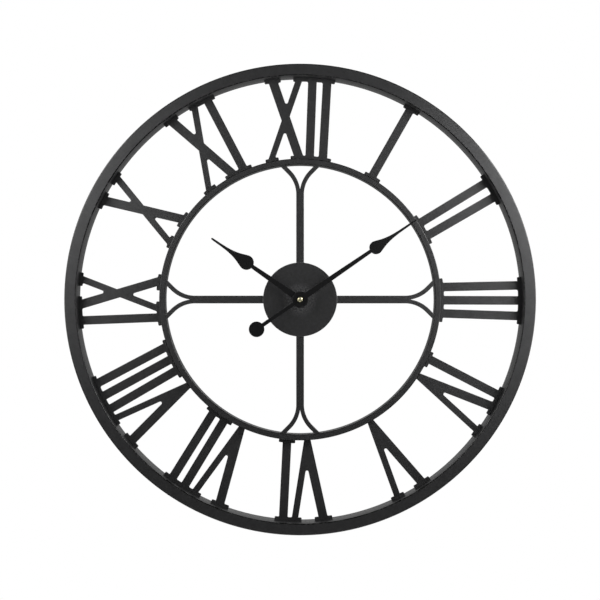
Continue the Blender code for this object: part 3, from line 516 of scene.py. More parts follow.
def surface(
    name, colour, roughness, metallic=0.0, *, mottle=0.25, mottle_size=4.0, grain=0.5,
    grain_size=0.6, depth=0.04, spread=0.08, stretch=(1.0, 1.0, 1.0), edge=None, edge_size=2.0,
    edge_amount=0.6, **constants,
):
    """A procedural finish. Sizes and depth are in millimetres.

    mottle is the share by which the colour drifts, grain the share of the fine speckle, spread
    how far the roughness goes either way, and edge the colour that shows along the edges.
    """
    made, tree, shader, node = graph(name, colour, roughness, metallic, **constants)
    place = node("ShaderNodeTexCoord").outputs["Object"]
    if stretch != (1.0, 1.0, 1.0):
        mapping = node("ShaderNodeMapping", {"Vector": place})
        mapping.inputs["Scale"].default_value = stretch
        place = mapping.outputs["Vector"]
    broad = noise(node, place, mottle_size, 4.0)
    fine = noise(node, place, grain_size, 5.0, 0.65)
    dark = tuple(c * (1 - mottle) for c in colour)
    light = tuple(c * (1 + mottle) for c in colour)
    tone = mixed(node, ranged(node, broad, 0.0, 1.0), dark, light)
    if grain:
        lit = tuple(min(1.0, c * (1 + 2.2 * grain) + 0.012 * grain) for c in colour)
        tone = mixed(node, ranged(node, fine, 0.0, 0.75, 0.5, 0.78), tone, lit)
    rough = ranged(node, fine, roughness - spread, min(1.0, roughness + spread))
    if edge:
        # Edge tint along the edges: wear on some finishes, painted highlights and painted shade on
        # others.
        wear_and_light_edge = node("ShaderNodeAttribute", attribute_name="edge").outputs["Fac"]
        wear_and_light_edge = ranged(node, wear_and_light_edge, 0.0, 1.0, 0.55, 0.9)
        patch = noise(node, place, edge_size, 3.0)
        mask = node("ShaderNodeMath", operation="MULTIPLY")
        tree.links.new(wear_and_light_edge, mask.inputs[0])
        tree.links.new(ranged(node, patch, 0.0, edge_amount, 0.35, 0.75), mask.inputs[1])
        tone = mixed(node, mask.outputs[0], tone, edge)
        smooth = node("ShaderNodeMath", operation="MULTIPLY_ADD")
        tree.links.new(mask.outputs[0], smooth.inputs[0])
        smooth.inputs[1].default_value = -0.2
        tree.links.new(rough, smooth.inputs[2])
        rough = smooth.outputs[0]
    bump = node("ShaderNodeBump", {"Height": fine})
    bump.inputs["Strength"].default_value = 1.0
    bump.inputs["Distance"].default_value = depth * MM
    tree.links.new(tone, shader.inputs["Base Color"])
    tree.links.new(rough, shader.inputs["Roughness"])
    tree.links.new(bump.outputs["Normal"], shader.inputs["Normal"])
    return made, tree, shader, node, place, tone


def powder_coat(name, edge, edge_amount, mottle=0.14, mottle_size=9.0):
    """The frame's black coat, whose edge tint differs from piece to piece: wear on most, a painted
    highlight round the hub disc's rim, and painted shade along the rings' edges.
    """
    return surface(
        name, (0.031, 0.031, 0.032), 0.52, mottle=mottle, mottle_size=mottle_size, grain=0.6,
        grain_size=0.8, depth=0.038, spread=0.07, edge=edge, edge_amount=edge_amount,
    )[0]


POWDER = powder_coat("powder_coat", (0.085, 0.085, 0.088), 0.5)
# The hub coat's pale edge colour is a painted highlight round the disc's rim.
HUB_COAT_RIM_HIGHLIGHT = powder_coat("hub_coat_painted_rim_highlight", (0.22, 0.22, 0.225), 1.0, 0.2, 4.0)
# The ring coat's near-black edge colour is painted shade along the rings' edges, where the shadow gaps
# fall.
RING_COAT_EDGE_SHADE = powder_coat("ring_coat_painted_edge_shade", (0.003, 0.003, 0.003), 4.0)
# The hand paint's pale edge colour is a painted highlight along the hands' edges.
HAND_PAINT_EDGE_HIGHLIGHT = surface(
    "hand_paint_painted_edge_highlight", (0.0065, 0.0065, 0.0070), 0.42, mottle=0.15, mottle_size=12.0, grain=0.3,
    grain_size=0.5, depth=0.006, spread=0.05, Specular_IOR_Level=0.40,
    edge=(0.16, 0.16, 0.165), edge_amount=0.8,
)[0]
BRASS = surface(
    "turned_brass", (0.83, 0.69, 0.36), 0.24, 1.0, mottle=0.10, mottle_size=2.5, grain=0.12,
    grain_size=0.18, depth=0.010, spread=0.07, stretch=(1.0, 6.0, 1.0), edge=(0.95, 0.86, 0.55),
)[0]
# The cap's dark olive edge colour is painted shade round the rim of the dome.
CAP_BRASS_RIM_SHADE = surface(
    "cap_brass_painted_rim_shade", (0.93, 0.86, 0.58), 0.44, 1.0, mottle=0.06, mottle_size=2.0, grain=0.1,
    grain_size=0.2, depth=0.004, spread=0.04, edge=(0.16, 0.17, 0.03), edge_size=6.0, edge_amount=1.0,
)[0]
STEEL = surface(
    "turned_steel", (0.58, 0.58, 0.60), 0.30, 1.0, mottle=0.12, mottle_size=3.0, grain=0.15,
    grain_size=0.20, depth=0.008, spread=0.08, stretch=(1.0, 5.0, 1.0),
)[0]
PLATING = surface(
    "nickel_plating", (0.70, 0.68, 0.64), 0.22, 1.0, mottle=0.08, mottle_size=3.0, grain=0.10,
    grain_size=0.25, depth=0.006, spread=0.06, edge=(0.85, 0.84, 0.82),
)[0]
CASE_BLACK = surface(
    "case_plastic", (0.018, 0.018, 0.020), 0.50, mottle=0.12, mottle_size=14.0, grain=0.6,
    grain_size=0.35, depth=0.030, spread=0.07, edge=(0.045, 0.045, 0.048), edge_amount=0.4,
)[0]
ACETAL = surface(
    "natural_acetal", (0.84, 0.83, 0.78), 0.38, mottle=0.04, mottle_size=6.0, grain=0.05,
    grain_size=0.4, depth=0.006, spread=0.05, Subsurface_Weight=0.15, Subsurface_Scale=0.002,
)[0]
KNOB_WHITE = surface(
    "knob_acetal", (0.82, 0.81, 0.76), 0.42, mottle=0.05, mottle_size=4.0, grain=0.06,
    grain_size=0.3, depth=0.008, spread=0.05, edge=(0.9, 0.89, 0.86),
)[0]
RUBBER = surface(
    "washer_rubber", (0.022, 0.022, 0.022), 0.78, mottle=0.2, mottle_size=3.0, grain=0.5,
    grain_size=0.3, depth=0.02, spread=0.08,
)[0]
MAGNET = surface(
    "sintered_magnet", (0.13, 0.13, 0.14), 0.45, 0.8, mottle=0.15, mottle_size=1.0, grain=0.4,
    grain_size=0.2, depth=0.02, spread=0.1,
)[0]
EPOXY = surface(
    "chip_epoxy", (0.012, 0.012, 0.012), 0.22, mottle=0.2, mottle_size=1.5, grain=0.1,
    grain_size=0.3, depth=0.01, spread=0.06,
)[0]


def banded(name, first, second, width, axis, roughness, metallic, depth):
    """A finish of fine bands across one axis, as of wound wire or of tracks on a board."""
    made, tree, shader, node, place, tone = surface(
        name, first, roughness, metallic, mottle=0.12, mottle_size=5.0, grain=0.1, grain_size=0.3,
    )
    wave = node("ShaderNodeTexWave", {"Vector": place}, bands_direction=axis)
    wave.inputs["Scale"].default_value = 0.314 / (width * MM)
    wave.inputs["Distortion"].default_value = 0.4
    lines = wave.outputs["Fac"]
    banding = mixed(node, ranged(node, lines, 0.0, 1.0, 0.2, 0.6), second, tone)
    tree.links.new(banding, shader.inputs["Base Color"])
    bump = node("ShaderNodeBump", {"Height": lines})
    bump.inputs["Distance"].default_value = depth * MM
    tree.links.new(bump.outputs["Normal"], shader.inputs["Normal"])
    return made


COPPER = banded("copper_winding", (0.72, 0.34, 0.15), (0.28, 0.10, 0.04), 0.25, "X", 0.35, 1.0, 0.05)
BOARD = banded("circuit_board", (0.02, 0.16, 0.07), (0.05, 0.26, 0.12), 1.6, "Z", 0.45, 0.0, 0.02)


def battery_sleeve():
    """A plain printed sleeve: a blue body with a pale band towards the positive end."""
    made, tree, shader, node, place, tone = surface(
        "cell_sleeve", (0.62, 0.63, 0.65), 0.30, 0.35, mottle=0.05, mottle_size=8.0, grain=0.08,
        grain_size=0.3, depth=0.006, spread=0.05,
    )
    along = node("ShaderNodeSeparateXYZ", {"Vector": place}).outputs["X"]
    low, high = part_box("battery")
    length = high.x - low.x
    ramp = node("ShaderNodeValToRGB", {"Fac": ranged(node, along, 0.0, 1.0, low.x, high.x)})
    ramp.color_ramp.interpolation = "CONSTANT"
    rim = 1.6 * MM / length
    stops = ((0.0, 0.0), (rim, 1.0), (0.70, 0.0), (0.715, 1.0), (0.73, 0.6), (0.955, 0.0))
    elements = ramp.color_ramp.elements
    while len(elements) < len(stops):
        elements.new(0.5)
    for element, (at, value) in zip(elements, stops):
        element.position = at
        element.color = (value, value, value, 1.0)
    blue = mixed(node, ramp.outputs["Color"], tone, (0.03, 0.09, 0.24))
    tree.links.new(blue, shader.inputs["Base Color"])
    return made


SLEEVE = battery_sleeve()


# ---- rings


def ring_circle(radius):
    """A circle with extra points at the ring's weld seam."""
    seam = math.radians(90 - SEAM_AT) % (2 * math.pi)
    step = math.radians(0.12)
    turns = [2 * math.pi * i / RING_SIDES for i in range(RING_SIDES)]
    turns = [t for t in turns if abs((t - seam + math.pi) % (2 * math.pi) - math.pi) > 4 * step]
    turns += [seam + step * k for k in range(-3, 4)]
    turns = sorted(t % (2 * math.pi) for t in turns)
    return [(radius * math.cos(t), radius * math.sin(t)) for t in turns]


def hoop(outer, inner, front, back, corner, steps=5):
    """The rounded front and back of a hoop as slabs, and the two wall loops between them."""
    walls = [ring_circle(outer), ring_circle(inner)]
    rounds = []
    for level, inward in ((front, 1), (back, -1)):
        path = []
        for i, (depth, share) in enumerate(quarter(corner, steps)):
            here = walls if i == steps else [ring_circle(outer - share), ring_circle(inner + share)]
            path.append((level + inward * depth, here))
        rounds.append(stacked(path[::inward]))
    return *rounds, walls


def outer_ring():
    """The ring of hollow tube, with its keyhole and its butt weld."""
    front, back = levels("outer_ring")
    face, rear, walls = hoop(RING_OUTER, RING_INNER, front, back, RING_CORNER)
    hollow = [circle(RING_OUTER - RING_WALL, 96), circle(RING_INNER + RING_WALL, 96)]
    head = circle(KEYHOLE_HEAD, 48, 0.0, KEYHOLE_HEAD_AT)
    slot = arc(KEYHOLE_SLOT, 0, 180, 24, 0.0, HOOK_AT)
    slot += [(-KEYHOLE_SLOT, KEYHOLE_HEAD_AT), (KEYHOLE_SLOT, KEYHOLE_HEAD_AT)]
    keyhole = joined([head, slot])
    mesh = solid(
        *face,
        (front + RING_CORNER, walls + hollow, back - RING_CORNER),
        *[(y0, a + keyhole, y1, b + keyhole) for y0, a, y1, b in rear],
    )
    seam = math.radians(SEAM_AT)
    middle_y, middle_r = (front + back) / 2 * MM, (RING_OUTER + RING_INNER) / 2 * MM
    for vert in mesh.verts:
        x, y, z = vert.co
        radius = math.hypot(x, z)
        off = (math.atan2(x, z) - seam + math.pi) % (2 * math.pi) - math.pi
        rise = SEAM_RISE * math.exp(-((off * radius / (SEAM_WIDTH * MM)) ** 2))
        if rise > 1e-5:
            grown = middle_r + (radius - middle_r) * (1 + rise)
            vert.co = (x * grown / radius, middle_y + (y - middle_y) * (1 + rise), z * grown / radius)
    add_piece("ring_tube", mesh, RING_COAT_EDGE_SHADE, "frame", ["outer_ring"])


def inner_ring():
    """The ring of flat bar."""
    front, back = levels("inner_ring")
    face, rear, walls = hoop(INNER_OUTER, INNER_INNER, front, back, INNER_CORNER)
    mesh = solid(*face, (front + INNER_CORNER, walls, back - INNER_CORNER), *rear)
    add_piece("ring_bar", mesh, RING_COAT_EDGE_SHADE, "frame", ["inner_ring"])


# ---- numerals


def stroke(top, bottom, width):
    """A straight stroke, by the places of its middle on the two reading circles and its width."""
    lean = (top - bottom) / (READ_TOP - READ_BOTTOM)
    half = width / 2 * math.hypot(1.0, lean)
    ends = PLATE_TOP - SERIF / 2, PLATE_BOTTOM + SERIF / 2
    middles = [bottom + lean * (radius - READ_BOTTOM) for radius in ends]
    corners = [(middles[0] + half, ends[0]), (middles[0] - half, ends[0])]
    corners += [(middles[1] - half, ends[1]), (middles[1] + half, ends[1])]
    return [on_dial(along, radius) for along, radius in corners]


def vee(left, right, apex):
    """The V: a thick and a thin stroke that meet in a flat point on the inner ring."""
    top = PLATE_TOP - SERIF / 2
    fall = top - PLATE_BOTTOM
    thick = THICK / 2 * math.hypot(1.0, (apex - left) / fall)
    thin = THIN / 2
    inner_left, inner_right = left + thick, right - thin
    drift_left = apex - APEX + 2 * thick - inner_left
    drift_right = inner_right - (apex + APEX - 2 * thin)
    share = (inner_right - inner_left) / (drift_left + drift_right)
    notch = inner_left + share * drift_left, top - share * fall
    corners = [(left - thick, top), (apex - APEX, PLATE_BOTTOM), (apex + APEX, PLATE_BOTTOM)]
    corners += [(right + thin, top), (inner_right, top), notch, (inner_left, top)]
    return [on_dial(along, radius) for along, radius in corners]


def serif(start, end, radius, thickness):
    """A curved foot along a ring, between two arc lengths."""
    steps = max(1, round((end - start) / 4.0))
    along = [start + (end - start) * i / steps for i in range(steps + 1)]
    far = [on_dial(a, radius + thickness) for a in along]
    near = [on_dial(a * radius / (radius + thickness), radius) for a in reversed(along)]
    return far + near


# Each numeral: its strokes, then the stretches of its outer and inner serifs. A bar is (top,
# bottom), a V is (left, right, apex), and an X is a thick and a thin slanted stroke.
NUMERALS = {
    1: ([("bar", 0.6, 1.1)], [(-9.2, 13.3)], [(-9.6, 13.2)]),
    2: ([("bar", -10.5, -8.2), ("bar", 10.7, 10.8)], [(-21.8, 22.0)], [(-19.6, 22.2)]),
    3: (
        [("bar", -18.2, -16.2), ("bar", 1.2, 0.9), ("bar", 21.1, 18.0)],
        [(-29.5, 32.4)],
        [(-27.6, 29.4)],
    ),
    4: (
        [("bar", -21.0, -16.8), ("vee", -4.5, 31.6, 9.3)],
        [(-32.7, 7.3), (23.4, 41.8)],
        [(-26.8, -5.5)],
    ),
    5: ([("vee", -18.1, 18.1, 0.0)], [(-29.9, -6.3), (8.8, 27.4)], []),
    6: (
        [("vee", -30.0, 6.8, -9.3), ("bar", 21.6, 17.0)],
        [(-42.2, -19.1), (-2.0, 33.4)],
        [(6.3, 27.6)],
    ),
    7: (
        [("vee", -42.0, -6.3, -17.5), ("bar", 8.8, 6.9), ("bar", 27.4, 24.3)],
        [(-55.3, -31.1), (-15.6, 39.8)],
        [(-4.0, 34.7)],
    ),
    8: (
        [("vee", -48.9, -13.4, -23.7), ("bar", 0.2, 0.6), ("bar", 18.9, 16.7), ("bar", 37.0, 33.7)],
        [(-61.3, -37.7), (-23.2, 48.0)],
        [(-10.2, 43.6)],
    ),
    9: (
        [("bar", -26.9, -23.4), ("thick", -5.8, 22.2), ("thin", 25.8, -9.7)],
        [(-38.3, 4.3), (17.7, 35.4)],
        [(-34.1, -2.5), (11.8, 33.2)],
    ),
    10: (
        [("thick", -15.3, 12.5), ("thin", 16.9, -18.4)],
        [(-28.0, -4.9), (7.5, 26.0)],
        [(-28.1, -10.9), (2.6, 24.7)],
    ),
    11: (
        [("thick", -27.7, 4.2), ("thin", 5.5, -29.5), ("bar", 24.9, 21.1)],
        [(-39.8, -18.7), (-1.6, 35.8)],
        [(-39.7, -20.9), (-5.2, 32.5)],
    ),
    12: (
        [("thick", -34.3, -3.0), ("thin", -2.0, -35.5), ("bar", 15.9, 12.5), ("bar", 34.8, 29.7)],
        [(-46.6, -25.1), (-9.0, 45.8)],
        [(-45.3, -27.8), (-12.4, 40.6)],
    ),
}
STROKE_WIDTHS = {"bar": BAR, "thick": THICK, "thin": THIN}


def numeral_outlines(hour, steps):
    """A numeral's outlines at the top of the dial, with its feet sunk into the rings."""
    strokes, outer_serifs, inner_serifs = NUMERALS[hour]
    shapes = []
    for kind, *places in strokes:
        if kind == "vee":
            shapes.append(vee(*places))
            apex = places[2]
            shapes.append(serif(apex - APEX, apex + APEX, PLATE_BOTTOM - SINK, SINK + 0.4))
        else:
            shapes.append(stroke(*places, STROKE_WIDTHS[kind]))
    shapes += [serif(a, b, PLATE_TOP - SERIF, SERIF + SINK) for a, b in outer_serifs]
    shapes += [serif(a, b, PLATE_BOTTOM - SINK, SERIF + SINK) for a, b in inner_serifs]
    return [rounded(loop, SERIF_CORNER, WINDOW_CORNER, steps) for loop in joined(shapes)]


def numerals():
    """The twelve numeral plates."""
    front, back = levels("numeral_12")
    for hour in NUMERALS:
        loops = [turned(loop, 30.0 * hour) for loop in numeral_outlines(hour, 6)]
        name = f"numeral_{hour:02d}"
        mesh = plate(loops, front, back, PLATE_EDGE)
        add_piece(f"{name}_plate", mesh, POWDER, "frame", [name])


def numeral_welds():
    """Short weld runs behind each foot of a numeral, hidden from the front."""
    back = levels("numeral_12")[1]
    runs = []
    for hour, (_, outer, inner) in NUMERALS.items():
        for radius, shift, feet in ((RING_INNER, -0.4, outer), (INNER_OUTER, 0.4, inner)):
            for start, end in feet:
                middles = [(start + end) / 2]
                if end - start > 30:
                    middles = [start + 9.0, end - 9.0]
                for middle in middles:
                    place = middle, radius + shift, 30.0 * hour
                    runs.append(weld_run(*place, NUMERAL_WELD, back + 0.3, NUMERAL_BEAD, 7))
    add_piece("numeral_welds", merged(runs), POWDER, "frame")


# ---- spokes and hub


def fork_branch(side, steps):
    """One branch of a fork: tangent to the bar, bent outwards, then straight to the ring."""
    overlap = 4.0
    middle = (SPOKE_WIDTH - BRANCH_WIDTH) / 2
    edges = []
    for off in (-BRANCH_WIDTH / 2, BRANCH_WIDTH / 2):
        points = [(middle + off, FORK_START - overlap)]
        for i in range(steps + 1):
            bend = math.radians(FORK_ANGLE) * i / steps
            radius = FORK_BEND - off
            x = middle + FORK_BEND - radius * math.cos(bend)
            points.append((x, FORK_START + radius * math.sin(bend)))
        (x, z), bend = points[-1], math.radians(FORK_ANGLE)
        dx, dz = math.sin(bend), math.cos(bend)
        along = x * dx + z * dz
        run = math.sqrt(along**2 - x**2 - z**2 + FORK_END**2) - along
        points.append((x + run * dx, z + run * dz))
        edges.append(points)
    loop = edges[1] + edges[0][::-1]
    return [(side * x, z) for x, z in loop]


def spoke_outlines(steps):
    """The outlines of the spoke that points up: bar, foot and fork."""
    half = SPOKE_WIDTH / 2
    bar = rectangle(-half, SPOKE_START, half, FORK_START)
    spread = math.degrees(PAD_WIDTH / 2 / PAD_RADIUS)
    pad = arc(PAD_RADIUS, 90 - spread, 90 + spread, steps)
    pad += arc(PAD_START, 90 + spread, 90 - spread, steps)
    loops = joined([bar, pad, fork_branch(1, steps), fork_branch(-1, steps)])
    return [rounded(loop, 0.0, PAD_CORNER, steps, sharpest=40.0) for loop in loops]


def spokes():
    """The four spokes, and their weld runs on the hub disc."""
    front, back = levels("spoke_top")
    disc = reach("hub_disc")
    runs = []
    for name, angle in (("top", 0), ("right", 90), ("bottom", 180), ("left", 270)):
        loops = [turned(loop, angle) for loop in spoke_outlines(12)]
        mesh = plate(loops, front, back, SPOKE_EDGE, rim=0.5)
        add_piece(f"spoke_{name}_bar", mesh, POWDER, "frame", [f"spoke_{name}"])
        runs.append(weld_run(0.0, disc + 0.1, angle, SPOKE_WIDTH, front, HUB_BEAD, 9))
        runs.append(weld_run(0.0, disc - 1.0, angle, PAD_WIDTH - 4.0, back - 1.0, HUB_BEAD, 9))
    add_piece("hub_welds", merged(runs), POWDER, "frame")


def rounded_profile(front, back, radius, corner, steps=4):
    """Stations of a disc whose two rims are rounded."""
    path = [(0.0, corner + 1.0), *quarter(corner, steps)]
    stations = [(front + depth, radius - share) for depth, share in path]
    return stations + [(back - depth, radius - share) for depth, share in reversed(path)]


def hub():
    """The hub disc with the washers, nut and bushing in its hole."""
    disc = rounded_profile(*levels("hub_disc"), reach("hub_disc"), HUB_CORNER)
    add_piece("hub_plate", lathe(160, disc, HUB_BORE), HUB_COAT_RIM_HIGHLIGHT, "frame", ["hub_disc"])
    rubber = rounded_profile(*levels("rubber_washer"), RUBBER_RADIUS, 0.3)
    add_piece("seal_washer", lathe(72, rubber, HUB_BORE), RUBBER, "frame", ["rubber_washer"])
    washer = rounded_profile(*levels("brass_washer"), BRASS_RADIUS, 0.15)
    add_piece("brass_ring", lathe(72, washer, HUB_BORE), BRASS, "frame", ["brass_washer"])
    front, back = levels("hex_nut")
    sides, sixth = 72, math.pi / 3
    turns = [2 * math.pi * i / sides for i in range(sides)]
    hexagon = [NUT_FLATS / 2 / math.cos((t + sixth / 2) % sixth - sixth / 2) for t in turns]
    bore = circle(NUT_BORE, sides)

    def cut(limit):
        radii = [min(r, limit) for r in hexagon]
        return [[(r * math.cos(t), r * math.sin(t)) for r, t in zip(radii, turns)], bore]

    corner = NUT_FLATS / math.sqrt(3)
    chamfers = [cut(corner - drop) for drop in (0.85, 0.6, 0.3, 0.0)]
    depths = (0.0, 0.1, 0.25, 0.45)
    steps = zip(depths, chamfers, depths[1:], chamfers[1:])
    slabs = [(front + d0, a, front + d1, b) for d0, a, d1, b in steps]
    slabs.append((front + depths[-1], chamfers[-1], back))
    add_piece("clamp_nut", solid(*slabs), BRASS, "frame", ["hex_nut"])
    front, back = levels("threaded_bushing")
    thread = [(front, 3.3), (front + 0.25, 3.75)]
    y = front + 0.3
    while y + THREAD_PITCH < back - 0.2:
        thread += [(y, THREAD_ROOT), (y + 0.25, THREAD_CREST)]
        thread += [(y + 0.38, THREAD_CREST), (y + 0.63, THREAD_ROOT)]
        y += THREAD_PITCH
    thread.append((back, THREAD_CREST))
    mesh = lathe(48, thread, BUSHING_BORE)
    add_piece("bushing_thread", mesh, BRASS, "frame", ["threaded_bushing"])


# ---- hands


def curve(corners, steps):
    """Points along a cubic Bezier curve, without its first one."""
    points = []
    for i in range(1, steps + 1):
        t = i / steps
        weights = (1 - t) ** 3, 3 * t * (1 - t) ** 2, 3 * t**2 * (1 - t), t**3
        points.append(tuple(sum(w * c[k] for w, c in zip(weights, corners)) for k in (0, 1)))
    return points


def hand_side(steps, boss, stem, neck, bulb, bulb_at, tip):
    """The right side of a hand that points up, from where its stem leaves the boss to its tip."""
    side = [(stem / 2, math.sqrt(boss**2 - stem**2 / 4))]
    meet = math.degrees(math.asin(neck / 2 / bulb))
    side += arc(bulb, -90 + meet, LEAF_LEAVES, 2 * steps, 0.0, bulb_at)
    leave = math.radians(LEAF_LEAVES)
    start = side[-1]
    first_pull = start[0] - LEAF_PULL * math.sin(leave), start[1] + LEAF_PULL * math.cos(leave)
    end = NEEDLE_BASE / 2, bulb_at + LEAF_RUN
    last_pull = end[0] + 0.3, end[1] - NEEDLE_PULL
    side += curve((start, first_pull, last_pull, end), 2 * steps)
    side += [(NEEDLE_TIP / 2, tip - NEEDLE_TIP / 2), (NEEDLE_TIP / 4, tip)]
    return side


def mirrored(side):
    """A whole outline from its right side, bottom to top."""
    return side + [(-x, z) for x, z in reversed(side)]


def hour_hand_outline(steps):
    boss = HOUR_SHAPE["boss"]
    side = hand_side(steps, **HOUR_SHAPE)
    start = math.degrees(math.atan2(side[0][1], side[0][0]))
    return mirrored(arc(boss, -90, start, 4 * steps)[1:-1] + side) + [(0.0, -boss)]


def minute_hand_outline(steps):
    boss, tail = MINUTE_SHAPE["boss"], TAIL_WIDTH / 2
    side = hand_side(steps, **MINUTE_SHAPE)
    start = math.degrees(math.atan2(side[0][1], side[0][0]))
    top = 90 - math.degrees(math.asin(tail / WEIGHT_RADIUS))
    weight = arc(WEIGHT_RADIUS, -90, top, 4 * steps, 0.0, WEIGHT_AT)
    rim = arc(boss, -90 + math.degrees(math.asin(tail / boss)), start, 4 * steps)
    return mirrored(weight[1:] + rim[:-1] + side) + [(0.0, WEIGHT_AT - WEIGHT_RADIUS)]


def hands():
    """The two hands and the cap nut."""
    hour = [turned(hour_hand_outline(8), HOUR_ANGLE), circle(HOUR_BORE, 48)[::-1]]
    mesh = plate(hour, *levels("hour_hand"), HAND_EDGE, rim=0.2)
    add_piece("hour_leaf", mesh, HAND_PAINT_EDGE_HIGHLIGHT, "hour_assembly", ["hour_hand"])
    minute = [turned(minute_hand_outline(8), MINUTE_ANGLE), circle(MINUTE_BORE, 32)[::-1]]
    mesh = plate(minute, *levels("minute_hand"), HAND_EDGE, rim=0.2)
    add_piece("minute_leaf", mesh, HAND_PAINT_EDGE_HIGHLIGHT, "minute_assembly", ["minute_hand"])

    front, back = levels("minute_cap_nut")
    rim = reach("minute_cap_nut")
    dome = [(front, 0.02)]
    for i in range(1, 11):
        bend = math.pi / 2 * i / 10
        dome.append((front + 1.25 * (1 - math.cos(bend)), (rim - 0.35) * math.sin(bend)))
    dome += [(front + 1.35, rim - 0.3), (front + 1.45, rim - 0.05), (front + 1.6, rim), (back, rim)]
    add_piece("cap_dome", lathe(72, dome), CAP_BRASS_RIM_SHADE, "minute_assembly", ["minute_cap_nut"])


# ---- movement


def case_shell():
    """The front case, with its bay for the cell."""
    front, back = levels("front_case")
    half, inside = CASE / 2, CASE / 2 - CASE_WALL
    outline = [rectangle(-half, -half, half, half, CASE_CORNER, 10)]
    works = rectangle(-inside, BAY_WALL_TOP, inside, inside, CASE_CORNER - CASE_WALL)
    bay = rectangle(-inside, -inside, inside, BAY_WALL_BOTTOM, CASE_CORNER - CASE_WALL)
    bore = circle(4.05, 48)[::-1]
    edge = rounding(outline, front, 0.7, 1, 4)
    slabs = [(y0, a + [bore], y1, b + [bore]) for y0, a, y1, b in edge]
    slabs.append((front + 0.7, outline + [bore], front + CASE_WALL))
    slabs.append((front + CASE_WALL, outline + [works[::-1], bay[::-1]], back))
    add_piece("case_shell", solid(*slabs), CASE_BLACK, "frame", ["front_case"])


def arrow_arc(radius, width, start, end, head, x, z):
    """An arrow bent round a point."""
    body = arc(radius + width / 2, start, end, 24, x, z)
    body += arc(radius - width / 2, end, start, 24, x, z)
    onward = math.copysign(head / radius * 57.3, end - start)
    turn, ahead = math.radians(end), math.radians(end + onward)
    tip = x + radius * math.cos(ahead), z + radius * math.sin(ahead)
    spans = radius - head * 0.7, radius + head * 0.7
    wings = [(x + r * math.cos(turn), z + r * math.sin(turn)) for r in spans]
    return joined([body, [wings[0], wings[1], tip]])


def cover():
    """The rear cover: a recess for the knob, raised marks and clips."""
    front, back = levels("rear_cover")
    half = CASE / 2
    x, z = place_of("setting_knob")
    sheet_front = back - 1.2
    outline = rectangle(-half, BAY_WALL_BOTTOM, half, half, 2.0, 8)
    recess = circle(RECESS_RADIUS, 64, x, z)[::-1]
    wall = circle(RECESS_RADIUS + 1.0, 64, x, z)
    stem = circle(1.4, 32, x, z)[::-1]
    top = rounding([outline, recess], back, 0.3, -1)
    mesh = solid(
        (front, [wall, stem], front + 1.0),
        (front + 1.0, [wall, recess], sheet_front),
        (sheet_front, [outline, recess], back - 0.3),
        *[(y1, b, y0, a) for y0, a, y1, b in reversed(top)],
    )
    parts = [mesh]
    lip = [circle(RECESS_RADIUS + 1.5, 64, x, z), circle(RECESS_RADIUS + 0.5, 64, x, z)[::-1]]
    raised = [lip, arrow_arc(RECESS_RADIUS + 3.0, 0.8, 150, 40, 2.2, x, z)]
    for low, right in ((8.0, 14.0), (10.5, 16.5)):
        raised.append([rectangle(-right, low + 8.0, right - 10.0, low + 9.0, 0.45)])
    for px, pz in ((-24.0, 24.0), (24.0, 24.0), (-24.0, -8.5), (24.0, -8.5)):
        raised.append([circle(1.7, 32, px, pz)])
    for loops in raised:
        parts.append(plate(loops, back - 0.4, back + 0.35, 0.15, 2, 0.1))
    for side, along in ((1, 15.0), (-1, 15.0), (1, -2.0), (-1, -2.0)):
        clip = rectangle(min(side * half, side * (half + 0.7)), along - 3.0,
                         max(side * half, side * (half + 0.7)), along + 3.0, 0.2, 3)
        parts.append(plate([clip], back - 5.5, back - 0.1, 0.15, 2, 0.05))
    add_piece("movement_cover", merged(parts), CASE_BLACK, "frame", ["rear_cover"])


def cell():
    """The AA cell, turned about Y and then laid along X with its positive end at +X."""
    low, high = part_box("battery")
    half, radius = (high.x - low.x) / 2 / MM, (high.z - low.z) / 2 / MM
    stations = [(-half + 0.35, 0.02), (-half + 0.35, 4.6), (-half + 0.1, 4.9), (-half, 5.2)]
    stations += [(-half, 6.2), (-half + 0.08, 6.7), (-half + 0.35, 7.0), (-half + 0.7, radius)]
    end = half - 1.2
    stations += [(end - 0.9, radius), (end - 0.35, 7.0), (end - 0.08, 6.7), (end, 6.2)]
    stations += [(end, 5.2), (end - 0.25, 4.9), (end - 0.25, 3.0), (end - 0.05, 2.75)]
    stations += [(half - 0.3, 2.68), (half - 0.08, 2.5), (half, 2.2), (half, 0.02)]
    mesh = lathe(72, stations)
    x, z = place_of("battery")
    y = (low.y + high.y) / 2 / MM
    turn = Matrix.Translation((x * MM, y * MM, z * MM)) @ Matrix.Rotation(math.radians(-90), 4, "Z")
    add_piece("cell_body", mesh, SLEEVE, "frame", ["battery"], turn)


def contacts():
    """The sheet contact of the positive end, and the flat spiral spring of the negative one."""
    x, z = place_of("battery")
    middle_y = sum(levels("battery")) / 2
    turn = Matrix.Translation((0, middle_y * MM, z * MM))
    for name, side in (("contact_plus", 1), ("contact_minus", -1)):
        low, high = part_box(name)
        wall = (high.x if side > 0 else low.x) / MM
        face = wall - side * 0.4
        tip = (low.x if side > 0 else high.x) / MM
        lie = turn @ Matrix.Rotation(math.radians(-90 * side), 4, "Z")
        near = min(abs(face), abs(wall))
        parts = [plate([rectangle(-5.0, -5.5, 5.0, 5.5, 1.0)], near, abs(wall), 0.12, 2, 0.1)]
        if side > 0:
            bump = [(abs(tip), 0.02)]
            for i in range(1, 9):
                bend = math.pi / 2 * i / 8
                bump.append((abs(tip) + 0.9 * (1 - math.cos(bend)), 2.6 * math.sin(bend)))
            bump.append((abs(face) + 0.1, 2.7))
            parts.append(lathe(48, bump))
        else:
            parts.append(spiral(abs(tip) + 0.3, abs(face), 1.9, 4.4, 2.5, 0.28))
        add_piece(f"{name}_sheet", merged(parts), PLATING, "frame", [name], lie)


